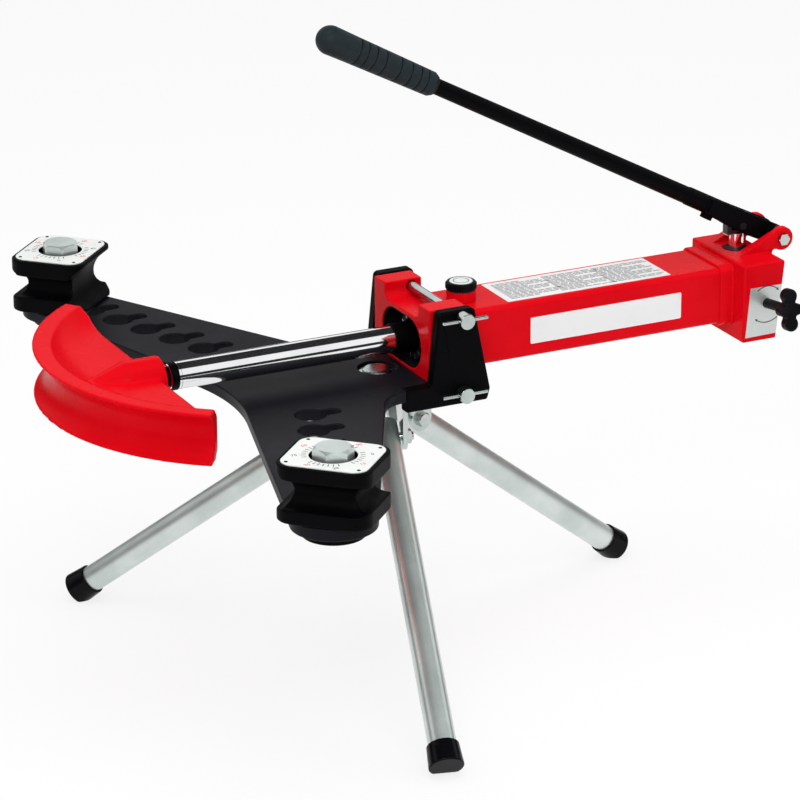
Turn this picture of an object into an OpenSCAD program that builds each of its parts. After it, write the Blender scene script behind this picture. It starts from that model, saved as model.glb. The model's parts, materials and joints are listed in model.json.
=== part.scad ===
// Hydraulic pipe bender on a folding tripod.
// The origin is on the floor below the middle of its length, +X runs from the hub to the pump,
// and the ram pushes towards -X. "Near" pieces lie on the -Y side, "far" ones on +Y.

/* [Wing plate] */
// Height of the wing plate's top above the floor
plate_top = 286; // [240:1:340]
// Thickness of the wing plate
plate_t = 12; // [9:0.5:14]
// How far the outer pins sit in front of the hub
pin_reach = 200; // [190:1:215]
// Half the distance between the two outer pins
pin_spread = 322; // [310:1:345]
// Radius of the rounded wing tip
tip_r = 40; // [38:0.5:48]
// Sweep of the wing's rear edge from the cross axis
rear_sweep = 27.3; // [25:0.1:30]
// Sweep of the wing's front edge from the cross axis
front_sweep = 16.1; // [13:0.1:19]
// Radius of the hollow in the middle of the front edge
front_hollow_r = 220; // [160:1:280]
// Radius of the hollow between a wing and its cheek
neck_fillet_r = 36; // [28:1:42]
// Number of pin holes in each wing
pin_hole_count = 7; // [5:1:8]
// Distance in front of the hub of the inmost pin hole
first_hole_reach = 114; // [106:1:120]
// Distance from the ram's axis of the inmost pin hole
first_hole_spread = 89; // [84:1:94]
// Width of the keyway beside each pin hole
keyway_w = 14; // [10:1:18]
// Reach of the keyway from the middle of its hole
keyway_reach = 31; // [26:1:33]
// Diameter of the hub hole in the plate
hub_hole_d = 38; // [36:1:42]

/* [Corner formers] */
// Diameter of a corner former's pin
pin_d = 29.4; // [26:0.2:31]
// Width across the flats of the pin's head
pin_head_flats = 33; // [32:0.5:38]
// How far the pin's head stands above the scale plate
pin_head_proud = 8; // [6:0.5:12]
// Length of a corner former along its main groove
block_l = 90; // [86:1:100]
// Width of a corner former across its main groove
block_w = 80; // [76:1:90]
// Height of a corner former
block_h = 54; // [52:1:60]
// Corner radius of a corner former, seen from above
block_r = 18; // [12:1:22]
// Depth of each groove
groove_depth = 16; // [12:0.5:17]
// Diameter of the head's recess in a corner former
recess_d = 46; // [44:0.5:50]
// Depth of the head's recess
recess_depth = 6; // [4:0.5:9]
// Thickness of the scale plate
scale_t = 1.2; // [0.8:0.1:2]
// Outer diameter of the collar below the wing tip
collar_d = 59; // [50:1:66]
// Height of that collar
collar_h = 8; // [6:1:16]

/* [Bending former and ram] */
// Height of the ram's axis above the wing plate
ram_rise = 27; // [26.5:0.1:29]
// Outside diameter of the pipe that the bending former fits
pipe_d = 48.3; // [46:0.1:49]
// Outside diameter of the pipe in a corner former's first end groove
end_pipe_d = 33.7; // [31:0.1:35]
// Outside diameter of the pipe in a corner former's outward groove
outer_pipe_d = 26.9; // [25:0.1:28]
// Outside diameter of the pipe in a corner former's second end groove
small_pipe_d = 21.3; // [20:0.1:23]
// Radius of the bend, to the middle of the pipe
bend_r = 228; // [205:1:235]
// Radius of the former's lips
lip_r = 218.5; // [216:0.1:220]
// Half the angle that the former spans
former_half_angle = 53.5; // [48:0.5:58]
// Height of the former over its lips
former_h = 50; // [48:0.5:52]
// Width of the flat on the former's rim, from its lips inwards
rim_w = 18; // [15:0.5:24]
// Radius of the hollow that runs from the rim down to the web
hollow_r = 46; // [34:1:60]
// Thickness of the former's web
web_t = 15; // [11:1:18]
// Distance of the former's lip, in the middle, in front of the ram's shoulder
former_apex = 120; // [113:1:128]
// Distance of the former's straight back edge in front of the ram's shoulder
former_back = 16; // [14:0.5:20]
// Diameter of the former's socket boss
socket_boss_d = 44; // [40:1:48]
// Diameter of the ram
ram_d = 27; // [25:0.5:30]
// Diameter of the ram's nose
nose_d = 19.8; // [18:0.1:21]
// Length of the nose in front of the ram's shoulder
nose_l = 50; // [45:1:58]
// Distance of the ram's shoulder in front of the hub
shoulder_reach = 222; // [218:1:226]
// Bore of the hollow ram, around its spring
ram_bore_d = 17; // [15:0.5:19]

/* [Pump head] */
// Distance of the head's front face behind the hub
head_front = 26; // [24:0.5:30]
// Depth of the head along the ram
head_depth = 40; // [36:1:46]
// Width of the head between the cheeks
head_w = 120; // [114:1:124]
// Height of the head's towers above the plate's top
tower_rise = 72; // [68:1:78]
// Drop of the head below the plate's top
head_drop = 20; // [18:1:21]
// Width of the notch between the towers
notch_w = 72; // [66:1:78]
// Height of the notch's floor above the plate's top
notch_rise = 57; // [55.5:0.5:60]
// Width of the pocket in the head's front
pocket_w = 84; // [78:1:90]
// Height of that pocket
pocket_h = 50; // [48:1:52]
// Depth of that pocket
pocket_depth = 22; // [18:1:24]
// Thickness of a cheek
cheek_t = 13; // [10:0.5:15]
// Drop of a cheek below the plate's top
cheek_drop = 23; // [22:1:30]
// Diameter of a locking pin
lock_d = 10; // [8:0.5:11]
// Height of the upper locking pin above the plate's top
upper_lock_rise = 64.5; // [63.5:0.1:66]
// Drop of the lower locking pin below the plate's top
lower_lock_drop = 11; // [9:0.5:12]
// Distance of the locking pins behind the hub
lock_reach = 55; // [48:0.5:57]

/* [Reservoir and cylinder] */
// Width of the reservoir tube
reservoir_w = 74; // [70:1:80]
// Height of the reservoir tube
reservoir_h = 58; // [57:0.5:60]
// Corner radius of the reservoir tube
reservoir_r = 6; // [5:0.5:9]
// Wall of the reservoir tube
reservoir_wall = 4; // [3:0.5:4.5]
// Distance of the pump block's front face behind the hub
block_front = 377; // [374:1:390]
// Outside diameter of the cylinder
cylinder_d = 48; // [46:0.5:48.5]
// Bore of the cylinder
cylinder_bore = 38; // [36:0.5:40]
// Distance of the filler's axis behind the hub
filler_reach = 91; // [88:1:96]
// Diameter of the filler cap
cap_d = 33; // [30:1:36]
// Height of the filler cap
cap_h = 7; // [5:0.5:9]
// Height of the filler's neck
filler_neck_h = 10.5; // [9:0.5:12]

/* [Pump] */
// Depth of the pump block along the ram, at its top
pump_depth = 47; // [44:1:52]
// How far the pump block's foot slopes in at the rear
pump_slope = 9; // [4:0.5:12]
// Reach of the pump block to the near side
pump_near = 59; // [54:1:64]
// Reach of the pump block to the far side
pump_far = 46; // [42:1:50]
// Height of the pump block's top above the plate's top
pump_rise = 63; // [60:1:66]
// Drop of the pump block below the plate's top
pump_drop = 18; // [14:1:24]
// Distance of the lever's pivot behind the pump block's front face
pivot_reach = 61.5; // [57:0.5:67]
// Height of the lever's pivot above the pump block's top
pivot_rise = 11.5; // [11.3:0.1:14]
// Distance of the plunger's axis behind the pump block's front face
plunger_reach = 24.5; // [21:0.5:27]
// Diameter of the plunger
plunger_d = 15; // [13:0.5:16]
// Tilt of the release valve above level
valve_tilt = 8; // [0:1:12]
// Height of the release valve above the plate's top
valve_rise = 21; // [17:0.5:26]
// Length over the wings of the release knob
knob_d = 50; // [44:1:54]

/* [Lever] */
// Angle of the lever above level at rest
lever_angle = 28.2; // [26:0.1:30]
// Length of the lever from its pivot
lever_l = 565; // [500:1:620]
// Diameter of the lever's tube
lever_d = 16; // [14:0.5:18]
// Diameter of the lever's socket
socket_d = 21; // [20:0.5:24]
// Length of the grip
grip_l = 137; // [120:1:150]
// Diameter of the grip at its end
grip_d = 28.4; // [25:0.2:32]
// Diameter of the grip at its mouth
grip_mouth_d = 24.4; // [22:0.2:26]

/* [Tripod] */
// Distance from the hub's axis at which a leg's axis meets the floor
foot_reach = 338; // [320:1:365]
// Outer diameter of a leg
leg_d = 27; // [24:0.5:28]
// Wall of a leg
leg_wall = 2; // [1.5:0.25:3]
// Distance of a leg's hinge from the hub's axis
leg_hinge_reach = 40; // [38:1:46]
// Drop of a leg's hinge below the plate's top
leg_hinge_drop = 58; // [54:1:66]
// Turn of the near front leg about the hub
first_leg_turn = -105; // [-115:1:-95]
// Diameter of the hub's top disc
hub_d = 88; // [80:1:100]
// Thickness of the hub's top disc and of its lugs
hub_t = 5; // [4:0.5:6]
// Diameter of the leg bolts
leg_bolt_d = 8; // [6:0.5:10]
// Length of a leg that its rubber foot covers
foot_cover = 14; // [10:1:20]
// Wall of the rubber foot at its mouth
foot_wall = 2; // [1.5:0.25:3.5]
// How much wider the rubber foot is at its sole, all round
foot_flare = 1.5; // [0.5:0.25:2.5]
// How far short of the floor the foot ends, along the leg's axis
foot_trim = 15; // [12:0.5:18]

/* [Hidden] */
$fn = 64;
// Overrun of every cut
over = 2;
// Share of a hexagon head's height with whole corners, and of its flats at its face
head_side_share = 0.8;
head_face_share = 0.96;
// Gap between faces of pieces that move past each other
slip = 0.3;
// Radial clearance of a pin or shaft in its bore
ease = 0.1;
// Radial clearance of a seated round piece
seat = 0.05;

// Wing plate, worked out from its tips and sweeps
plate_bottom = plate_top - plate_t;
cheek_inner = head_w / 2;
cheek_outer = cheek_inner + cheek_t;
tip = [-pin_reach, pin_spread];
rear_normal = [cos(rear_sweep), sin(rear_sweep)];
front_normal = [-cos(front_sweep), -sin(front_sweep)];
tip_rear = tip + tip_r * rear_normal;
tip_front = tip + tip_r * front_normal;
tip_steps = 28;
neck_steps = 10;
hollow_steps = 8;
neck_corner = [tip_rear.x + (tip_rear.y - cheek_outer) * tan(rear_sweep), cheek_outer];
neck_centre = [
  neck_corner.x + neck_fillet_r * (1 - sin(rear_sweep)) / cos(rear_sweep),
  cheek_outer + neck_fillet_r
];
front_vertex = [tip_front.x + tip_front.y * tan(front_sweep), 0];
front_centre = [front_vertex.x - front_hollow_r / cos(front_sweep), 0];
pin_hole_r = pin_d / 2 + slip;
hole_step = [
  -(pin_reach - first_hole_reach) / (pin_hole_count - 1),
  (pin_spread - first_hole_spread) / (pin_hole_count - 1)
];
function pin_hole(i) = [-first_hole_reach, first_hole_spread] + i * hole_step;

// Head, cheeks and locking pins
head_rear = head_front + head_depth;
notch_r = 8;
cheek_front = neck_centre.x;
cheek_lean = 4;
cheek_toe = 3;
cheek_heel_l = 20;
cheek_heel_in = 3;
cheek_proud = 1;
cheek_top_front = head_front + cheek_lean;
cheek_top_rear = head_rear + cheek_lean;
cheek_heel = head_rear + cheek_heel_l;
cheek_corner_r = 5;
upper_lock_z = plate_top + upper_lock_rise;
lower_lock_z = plate_top - lower_lock_drop;
lock_head_d = 15.5;
lock_head_l = 12;
lock_gap = 1;
lock_bar_d = 3.6;
lock_bar_l = 48;
lock_tip_l = 6;

// Ram, cylinder and spring
ram_z = plate_top + ram_rise;
cylinder_front = head_front + pocket_depth;
gland_l = 24;
gland_wall = 3;
wiper_t = 5;
nut_rim = 2;
nut_d = pocket_h - nut_rim;
nut_t = pocket_depth / 2;
piston_l = 26;
piston_stand = 40;
piston_front = cylinder_front + gland_l + piston_stand;
piston_rear = piston_front + piston_l;
seal_groove = 3;
seal_l = 6;
spring_wire = 1.8;
spring_ease = 2;
spring_d = ram_bore_d - spring_ease;
spring_turns = 22;
spring_seat = 20;
spring_front = -shoulder_reach + spring_seat;
anchor_l = 12;
anchor_ease = 1;
shoulder_chamfer = 1.5;
nose_chamfer = 2;

// Bending former
apex_reach = shoulder_reach + former_apex;
back_reach = shoulder_reach + former_back;
former_x = -apex_reach + lip_r;
groove_r = pipe_d / 2 + slip;
rim_inner = lip_r - rim_w;
hollow_w = sqrt(pow(hollow_r, 2) - pow(hollow_r - (former_h - web_t) / 2, 2));
boss_gap = 7;
boss_back = shoulder_reach + boss_gap;
boss_lead = 36;
former_rib_t = 18;

// Corner former
block_bottom = plate_top + slip;
block_top = block_bottom + block_h;
groove_pipes = [pipe_d, end_pipe_d, outer_pipe_d, small_pipe_d];
scale_margin = 4;
scale_hole_inset = 2;
scale_hole_d = recess_d - scale_hole_inset;
pin_head_h = recess_depth + scale_t + pin_head_proud;
pin_chamfer = 2;
pin_tail = 4;

// Reservoir, filler and pump block
reservoir_top = ram_z + reservoir_h / 2;
filler_hole_d = 18;
filler_neck_d = 29;
cap_plug_l = 7;
cap_seal_t = 1.5;
cap_side_share = 0.8;
pump_top = plate_top + pump_rise;
pump_bottom = plate_top - pump_drop;
pump_rear = block_front + pump_depth;
lug_outer = 30;
lug_t = 9;
lug_inner = lug_outer - lug_t;
lug_r = 12;
pivot = [block_front + pivot_reach, pump_top + pivot_rise];
pivot_d = 8;
pivot_flats = 11;
pivot_head_h = 3.5;
pivot_tail = 2;
lug_foot_share = 0.12;
lug_lean_share = 0.35;
check_d = 11;
check_depth = 30;
check_spread = 24;
check_plug_h = 9;
check_ball_d = 8;
check_wire = 1.2;
check_turns = 4;

// Plunger and its link to the lever
plunger_x = block_front + plunger_reach;
plunger_head_w = 26;
plunger_head_h = 19;
plunger_head_t = 10;
plunger_depth = 44;
plunger_bore_depth = 66;
link_d = 8;
link_offset = 5;
link_along = (pivot_reach - plunger_reach - link_offset * sin(lever_angle)) / cos(lever_angle);
link_z = pivot.y + link_along * sin(lever_angle) - link_offset * cos(lever_angle);
link_slack_below = 1.5;
link_travel = 7.5;
bush_d = 25;
bush_h = 12;

// Lever yoke, tube and grip
yoke_gap = 8;
yoke_t = 6;
yoke_r = 10.4;
yoke_below = 12;
yoke_l = 84;
yoke_socket_start = 66;
yoke_socket_end = 108;
yoke_step = 2;
yoke_lip = 1;
socket_floor = 2;
clamp_at = 76;
clamp_flats = 13;
clamp_head_h = 6;
tube_wall = 2.5;
grip_start = lever_l - grip_l;
grip_groove_shares = [0.10, 0.165, 0.245, 0.34, 0.47, 0.555, 0.627, 0.69];
grip_groove_depth = 0.9;
grip_groove_w = 1.6;
grip_mouth_step = 4;

// Release valve
valve_offset = 2;
valve = [plunger_x + valve_offset, -pump_near, plate_top + valve_rise];
spindle_d = 10;
spindle_in = 20;
spindle_out = 43;
knob_t = 13;
knob_hub_d = 20;
knob_wing_d = 17;
knob_arm_w = 12;
knob_side_d = 13;
knob_side_reach = 9;

// Tripod
hinge_z = plate_top - leg_hinge_drop;
leg_slope = atan2(hinge_z, foot_reach - leg_hinge_reach);
leg_tail = 15;
leg_to_floor = hinge_z / sin(leg_slope);
sole_t = 4;
leg_end = leg_to_floor - (sole_t + leg_d / 2 * cos(leg_slope)) / sin(leg_slope);
foot_end = leg_to_floor - foot_trim;
leg_turns = [first_leg_turn, first_leg_turn + 120, first_leg_turn + 240];
lug_play = 1;
lug_gap = leg_d / 2 + lug_play;
lug_span = 2 * (lug_gap + hub_t);
spigot_short = 3;
hub_spigot_h = plate_t - spigot_short;
hub_bolt_d = 12;
hub_bolt_head_d = 30;
hub_bolt_head_h = 3;
hub_bolt_face_d = 24;
hub_bolt_side_share = 0.6;
hub_bolt_tail = 14;
hub_nut_h = 10;
hub_nut_flats = 18;
leg_bolt_flats = 13;
leg_bolt_head_h = 5.5;
leg_bolt_tail = 2;
leg_bolt_out = leg_bolt_head_h + leg_bolt_tail;
hub_lug_r = 13;
hub_lug_start = 15;

// Middle of the part's length, between the former's lip and the lugs of the pump block
mid_x = (pivot.x + lug_r - apex_reach) / 2;

black = [0.06, 0.06, 0.065];
red = [0.8, 0.05, 0.05];
zinc = [0.78, 0.79, 0.8];
chrome = [0.85, 0.86, 0.88];
steel = [0.5, 0.51, 0.53];
rubber = [0.08, 0.08, 0.08];
white = [0.92, 0.92, 0.9];

// Shapes used by more than one piece

// A rectangle with rounded corners, centred, made of straight and round pieces.
module rounded_rect(w, h, r) {
  square([w - 2 * r, h], center = true);
  square([w, h - 2 * r], center = true);
  for (x = [-1, 1], y = [-1, 1])
    translate([x * (w / 2 - r), y * (h / 2 - r)]) circle(r);
}

// Lays a piece that stands along +Z so that it runs along +X from x, on the ram's axis.
module along_ram(x) {
  translate([x, 0, ram_z]) rotate([0, 90, 0]) children();
}

// A round bar along the cross axis, from y0 to y1.
module cross_bar(x, z, d, y0, y1) {
  translate([x, y1, z]) rotate([90, 0, 0]) cylinder(d = d, h = y1 - y0);
}

// A hexagon prism of a given width across its flats.
module hex_prism(flats, h) {
  cylinder(d = flats / cos(30), h = h, $fn = 6);
}

// A hexagon head with its top corners turned off.
module hex_head(flats, h) {
  intersection() {
    hex_prism(flats, h);
    union() {
      cylinder(d = flats / cos(30) + over, h = h * head_side_share);
      translate([0, 0, h * head_side_share])
        cylinder(d1 = flats / cos(30), d2 = flats * head_face_share, h = h * (1 - head_side_share));
    }
  }
}

// A profile in the X-Z plane, given thickness across from y0 to y1.
module upright(y0, y1) {
  translate([0, y1, 0]) rotate([90, 0, 0]) linear_extrude(y1 - y0) children();
}

// A coil spring along +Z, swept as one closed tube of few faces.
module coil(d, wire, length, turns, steps = 8, sides = 5) {
  n = turns * steps;
  r = (d - wire) / 2;
  points = [
    for (i = [0:n], k = [0:sides - 1])
      let (a = 360 * i / steps, b = 360 * k / sides, q = r + wire / 2 * cos(b))
        [q * cos(a), q * sin(a), length * i / n + wire / 2 * sin(b)]
  ];
  faces = concat(
    [[for (k = [0:sides - 1]) k]],
    [
      for (i = [0:n - 1], k = [0:sides - 1])
        let (m = (k + 1) % sides)
          [i * sides + m, i * sides + k, (i + 1) * sides + k, (i + 1) * sides + m]
    ],
    [[for (k = [0:sides - 1]) n * sides + sides - 1 - k]]
  );
  polyhedron(points, faces, convexity = 10);
}

// Places a piece on both wings, mirrored.
module both_wings() {
  children();
  mirror([0, 1, 0]) children();
}

// Wing plate and cheeks

// Points of an arc, from one angle to another.
function arc(centre, r, from, to, steps) = [
  for (i = [0:steps])
    let (a = from + (to - from) * i / steps) centre + r * [cos(a), sin(a)]
];

// The far half of the outline's corners, from the front hollow round the tip to the rear.
half_outline = [
  each arc(front_centre, front_hollow_r, 0, front_sweep, hollow_steps),
  each arc(tip, tip_r, 180 + front_sweep, rear_sweep, tip_steps),
  each arc(neck_centre, neck_fillet_r, 180 + rear_sweep, 270, neck_steps),
  [neck_centre.x, cheek_inner], [head_front, cheek_inner]
];
plate_outline = concat(
  half_outline,
  [for (i = [len(half_outline) - 1:-1:1]) [half_outline[i].x, -half_outline[i].y]]
);

// A pin hole with its keyway towards the pump.
module keyhole() {
  circle(pin_hole_r);
  translate([0, -keyway_w / 2]) square([keyway_reach - keyway_w / 2, keyway_w]);
  translate([keyway_reach - keyway_w / 2, 0]) circle(d = keyway_w);
}

module wing_plate() {
  color(black) translate([0, 0, plate_bottom]) linear_extrude(plate_t) difference() {
    polygon(plate_outline);
    both_wings() for (i = [0:pin_hole_count - 1]) translate(pin_hole(i)) keyhole();
    circle(d = hub_hole_d);
  }
}

// The cheek's side view: a tapered upright on a foot bar that runs along the plate's neck.
module cheek_profile() {
  top = plate_top + tower_rise + cheek_proud;
  foot = plate_top - cheek_drop;
  r = cheek_corner_r;
  polygon([
    [cheek_front, foot], [cheek_heel - cheek_heel_in, foot], [cheek_heel, foot + cheek_drop / 2],
    [cheek_top_rear, top - r], [cheek_top_rear - r, top],
    [cheek_top_front + r, top], [cheek_top_front, top - r],
    [head_front - cheek_toe, plate_top], [cheek_front, plate_top]
  ]);
  translate([cheek_top_front + r, top - r]) circle(r);
  translate([cheek_top_rear - r, top - r]) circle(r);
}

module cheek(y0, y1) {
  color(black) difference() {
    upright(y0, y1) cheek_profile();
    for (z = [upper_lock_z, lower_lock_z])
      cross_bar(lock_reach, z, lock_d + 2 * slip, y0 - over, y1 + over);
  }
}

module cheek_near() { cheek(-cheek_outer, -cheek_inner); }

module cheek_far() { cheek(cheek_inner, cheek_outer); }

module pin_collars() {
  color(black) both_wings() translate([tip.x, tip.y, plate_bottom - collar_h]) difference() {
    cylinder(d = collar_d, h = collar_h);
    translate([0, 0, -over]) cylinder(r = pin_hole_r, h = collar_h + 2 * over);
  }
}

// Pump head, reservoir and cylinder

module head_profile() {
  floor_z = plate_top + notch_rise;
  difference() {
    translate([-head_w / 2, plate_top - head_drop]) square([head_w, head_drop + tower_rise]);
    translate([-notch_w / 2 + notch_r, floor_z]) square([notch_w - 2 * notch_r, tower_rise]);
    translate([-notch_w / 2, floor_z + notch_r]) square([notch_w, tower_rise]);
    for (s = [-1, 1]) translate([s * (notch_w / 2 - notch_r), floor_z + notch_r]) circle(notch_r);
  }
}

module ram_head() {
  color(red) difference() {
    translate([head_front, 0, 0]) rotate([90, 0, 90]) linear_extrude(head_depth) head_profile();
    along_ram(head_front - over) linear_extrude(pocket_depth + over)
      rotate(90) rounded_rect(pocket_w, pocket_h, pocket_h / 2 - seat);
    along_ram(head_front) cylinder(d = cylinder_d + 2 * seat, h = head_depth + over);
    for (z = [upper_lock_z, lower_lock_z])
      cross_bar(lock_reach, z, lock_d + 2 * slip, -head_w, head_w);
  }
}

module reservoir() {
  inner_r = reservoir_r - reservoir_wall / 2;
  color(red) difference() {
    along_ram(head_rear) linear_extrude(block_front - head_rear) rotate(90) difference() {
      rounded_rect(reservoir_w, reservoir_h, reservoir_r);
      rounded_rect(reservoir_w - 2 * reservoir_wall, reservoir_h - 2 * reservoir_wall, inner_r);
    }
    translate([filler_reach, 0, ram_z]) cylinder(d = filler_hole_d, h = reservoir_h);
  }
}

module filler_neck() {
  color(red) translate([filler_reach, 0, reservoir_top]) difference() {
    cylinder(d = filler_neck_d, h = filler_neck_h);
    translate([0, 0, -over]) cylinder(d = filler_hole_d, h = filler_neck_h + 2 * over);
  }
}

module cylinder_tube() {
  color(steel) along_ram(cylinder_front) difference() {
    cylinder(d = cylinder_d, h = block_front - cylinder_front);
    translate([0, 0, -over])
      cylinder(d = cylinder_bore, h = block_front - cylinder_front + 2 * over);
  }
}

// Ring nut on the floor of the head's pocket, which holds the gland in the cylinder.
module cylinder_nut() {
  color(steel) along_ram(cylinder_front - nut_t) difference() {
    cylinder(d = nut_d, h = nut_t);
    translate([0, 0, -over]) cylinder(d = ram_d + 2 * gland_wall, h = nut_t + 2 * over);
  }
}

module gland_bush() {
  color(steel) along_ram(cylinder_front) difference() {
    cylinder(d = cylinder_bore - 2 * seat, h = gland_l);
    translate([0, 0, -over]) cylinder(d = ram_d + 2 * ease, h = gland_l + 2 * over);
  }
}

module rod_wiper() {
  color(rubber) along_ram(cylinder_front - wiper_t) difference() {
    cylinder(d = ram_d + 2 * gland_wall - 2 * seat, h = wiper_t);
    translate([0, 0, -over]) cylinder(d = ram_d + 2 * ease, h = wiper_t + 2 * over);
  }
}

// Pump block and what sits in it

module pump_profile() {
  polygon([
    [block_front, pump_bottom], [pump_rear - pump_slope, pump_bottom],
    [pump_rear, pump_top], [block_front, pump_top]
  ]);
}

// One lug that leans back from the block's top to the lever's pivot.
module lug_profile() {
  lean = atan2(pivot.y - pump_top, pivot.x - pump_rear);
  up = [-sin(lean) - lug_lean_share, 1];
  side = up / norm(up);
  polygon([
    [block_front + pump_depth * lug_foot_share, pump_top - over], pivot + lug_r * side,
    pivot, pivot + lug_r * [1, 0], [pump_rear - over, pump_top - over]
  ]);
  translate(pivot) circle(lug_r);
}

module pump_block() {
  color(red) difference() {
    union() {
      upright(-pump_near, pump_far) pump_profile();
      for (y = [-lug_outer, lug_inner]) upright(y, y + lug_t) lug_profile();
    }
    cross_bar(pivot.x, pivot.y, pivot_d + 2 * seat, -pump_near, pump_far);
    translate([plunger_x, 0, pump_top - plunger_bore_depth])
      cylinder(d = plunger_d + 2 * ease, h = plunger_bore_depth + over);
    translate([plunger_x, 0, pump_top - bush_h])
      cylinder(d = bush_d, h = bush_h + over);
    translate(valve) rotate([90 - valve_tilt, 0, 0]) translate([0, 0, -spindle_in - slip])
      cylinder(d = spindle_d + 2 * ease, h = spindle_in + pump_near);
    for (y = [-1, 1]) translate([plunger_x, y * check_spread, pump_bottom - over])
      cylinder(d = check_d, h = check_depth + over);
  }
}

module plunger_bush() {
  color(steel) translate([plunger_x, 0, pump_top - bush_h]) difference() {
    cylinder(d = bush_d - 2 * seat, h = bush_h);
    translate([0, 0, -over]) cylinder(d = plunger_d + 2 * ease, h = bush_h + 2 * over);
  }
}

// Suction and delivery valves, drilled from below: ball, spring and screw plug.
module at_checks() {
  for (y = [-1, 1]) translate([plunger_x, y * check_spread, pump_bottom]) children();
}

module check_balls() {
  color(chrome) at_checks() translate([0, 0, check_depth - check_ball_d / 2]) sphere(d = check_ball_d);
}

module check_springs() {
  room = check_depth - check_ball_d - check_plug_h - check_wire;
  color(steel) at_checks() translate([0, 0, check_plug_h + check_wire / 2])
    coil(check_ball_d, check_wire, room, check_turns);
}

module check_plugs() {
  color(steel) at_checks() difference() {
    cylinder(d = check_d - 2 * seat, h = check_plug_h);
    translate([0, 0, -over]) hex_prism(check_d / 2, check_plug_h / 2 + over);
  }
}

module pivot_bolt() {
  color(zinc) {
    cross_bar(pivot.x, pivot.y, pivot_d, -lug_outer, lug_outer + pivot_head_h + pivot_tail);
    translate([pivot.x, -lug_outer, pivot.y]) rotate([90, 0, 0]) hex_head(pivot_flats, pivot_head_h);
  }
}

module pivot_nut() {
  color(zinc) translate([pivot.x, lug_outer, pivot.y]) rotate([-90, 0, 0]) difference() {
    hex_head(pivot_flats, pivot_head_h);
    translate([0, 0, -over]) cylinder(d = pivot_d + 2 * seat, h = pivot_head_h + 2 * over);
  }
}

// Ram and its return spring

module ram_rod() {
  length = piston_rear + shoulder_reach;
  chamfer = shoulder_chamfer;
  color(chrome) along_ram(-shoulder_reach) difference() {
    union() {
      cylinder(d1 = ram_d - 2 * chamfer, d2 = ram_d, h = chamfer);
      translate([0, 0, chamfer]) cylinder(d = ram_d, h = length - chamfer);
    }
    translate([0, 0, spring_front + shoulder_reach - spring_wire])
      cylinder(d = ram_bore_d, h = length);
  }
}

module ram_nose() {
  color(steel) along_ram(-shoulder_reach - nose_l) union() {
    cylinder(d1 = nose_d - nose_chamfer, d2 = nose_d, h = nose_chamfer);
    translate([0, 0, nose_chamfer]) cylinder(d = nose_d, h = nose_l - nose_chamfer);
  }
}

module piston() {
  color(steel) along_ram(piston_front) difference() {
    cylinder(d = cylinder_bore - 2 * ease, h = piston_l);
    translate([0, 0, -over]) cylinder(d = ram_d + 2 * seat, h = piston_l + 2 * over);
    translate([0, 0, (piston_l - seal_l) / 2]) difference() {
      cylinder(d = cylinder_bore + over, h = seal_l);
      cylinder(d = cylinder_bore - 2 * seal_groove, h = seal_l);
    }
  }
}

module piston_seal() {
  color(rubber) along_ram(piston_front + (piston_l - seal_l) / 2 + seat) difference() {
    cylinder(d = cylinder_bore - 2 * ease, h = seal_l - 2 * seat);
    translate([0, 0, -over])
      cylinder(d = cylinder_bore - 2 * seal_groove + 2 * seat, h = seal_l + 2 * over);
  }
}

module return_spring() {
  color(steel) along_ram(spring_front)
    coil(spring_d, spring_wire, block_front - anchor_l - spring_wire - spring_front, spring_turns);
}

module spring_anchor() {
  color(steel) along_ram(block_front - anchor_l) cylinder(d = spring_d - anchor_ease, h = anchor_l);
}

// Bending former: a grooved rim around the inside of the bend, hollowed down to a web,
// with a socket boss for the ram's nose

module rim_profile() {
  difference() {
    translate([rim_inner - hollow_w, -former_h / 2]) square([rim_w + hollow_w, former_h]);
    translate([bend_r, 0]) circle(groove_r, $fn = 96);
    for (side = [-1, 1])
      translate([rim_inner - hollow_w, side * (web_t / 2 + hollow_r)]) circle(hollow_r, $fn = 128);
  }
}

module former_sector(r) {
  a = former_half_angle;
  polygon([[0, 0], [r * cos(a), -r * sin(a)], [2 * r, -r * sin(a)], [2 * r, r * sin(a)],
    [r * cos(a), r * sin(a)]]);
}

module bending_former() {
  web_r = rim_inner - hollow_w / 2;
  rear = former_apex - former_back;
  color(red) difference() {
    union() {
      intersection() {
        translate([former_x, 0, ram_z]) rotate(180 - former_half_angle)
          rotate_extrude(angle = 2 * former_half_angle, $fn = 128) rim_profile();
        translate([-back_reach - 2 * lip_r, -2 * lip_r, plate_top])
          cube([2 * lip_r, 4 * lip_r, 2 * former_h]);
      }
      translate([former_x, 0, ram_z - web_t / 2]) mirror([1, 0, 0]) linear_extrude(web_t)
        intersection() {
          circle(web_r, $fn = 128);
          former_sector(web_r);
          translate([lip_r - rear, -web_r]) square(2 * web_r);
        }
      along_ram(-boss_back - boss_lead) {
        cylinder(d = socket_boss_d, h = boss_lead);
        translate([0, 0, -boss_lead]) cylinder(d1 = former_rib_t, d2 = socket_boss_d, h = boss_lead);
      }
    }
    along_ram(-shoulder_reach - nose_l - slip) cylinder(d = nose_d + 2 * ease, h = nose_l + over);
  }
}

// Corner formers, turned so that their main groove faces the bent pipe's leg

module at_corner(side) {
  translate([tip.x, side * tip.y, block_bottom]) rotate(-45 * side) children();
}

// A groove along +Y in the block's +X side, for one pipe size.
module block_groove(half, pipe, length) {
  r = pipe / 2 + slip;
  axis = half - groove_depth + r;
  translate([axis, -length, block_h / 2]) rotate([-90, 0, 0]) cylinder(r = r, h = 2 * length);
  if (axis < half)
    translate([axis, -length, block_h / 2 - r]) cube([half - axis + over, 2 * length, 2 * r]);
}

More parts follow.
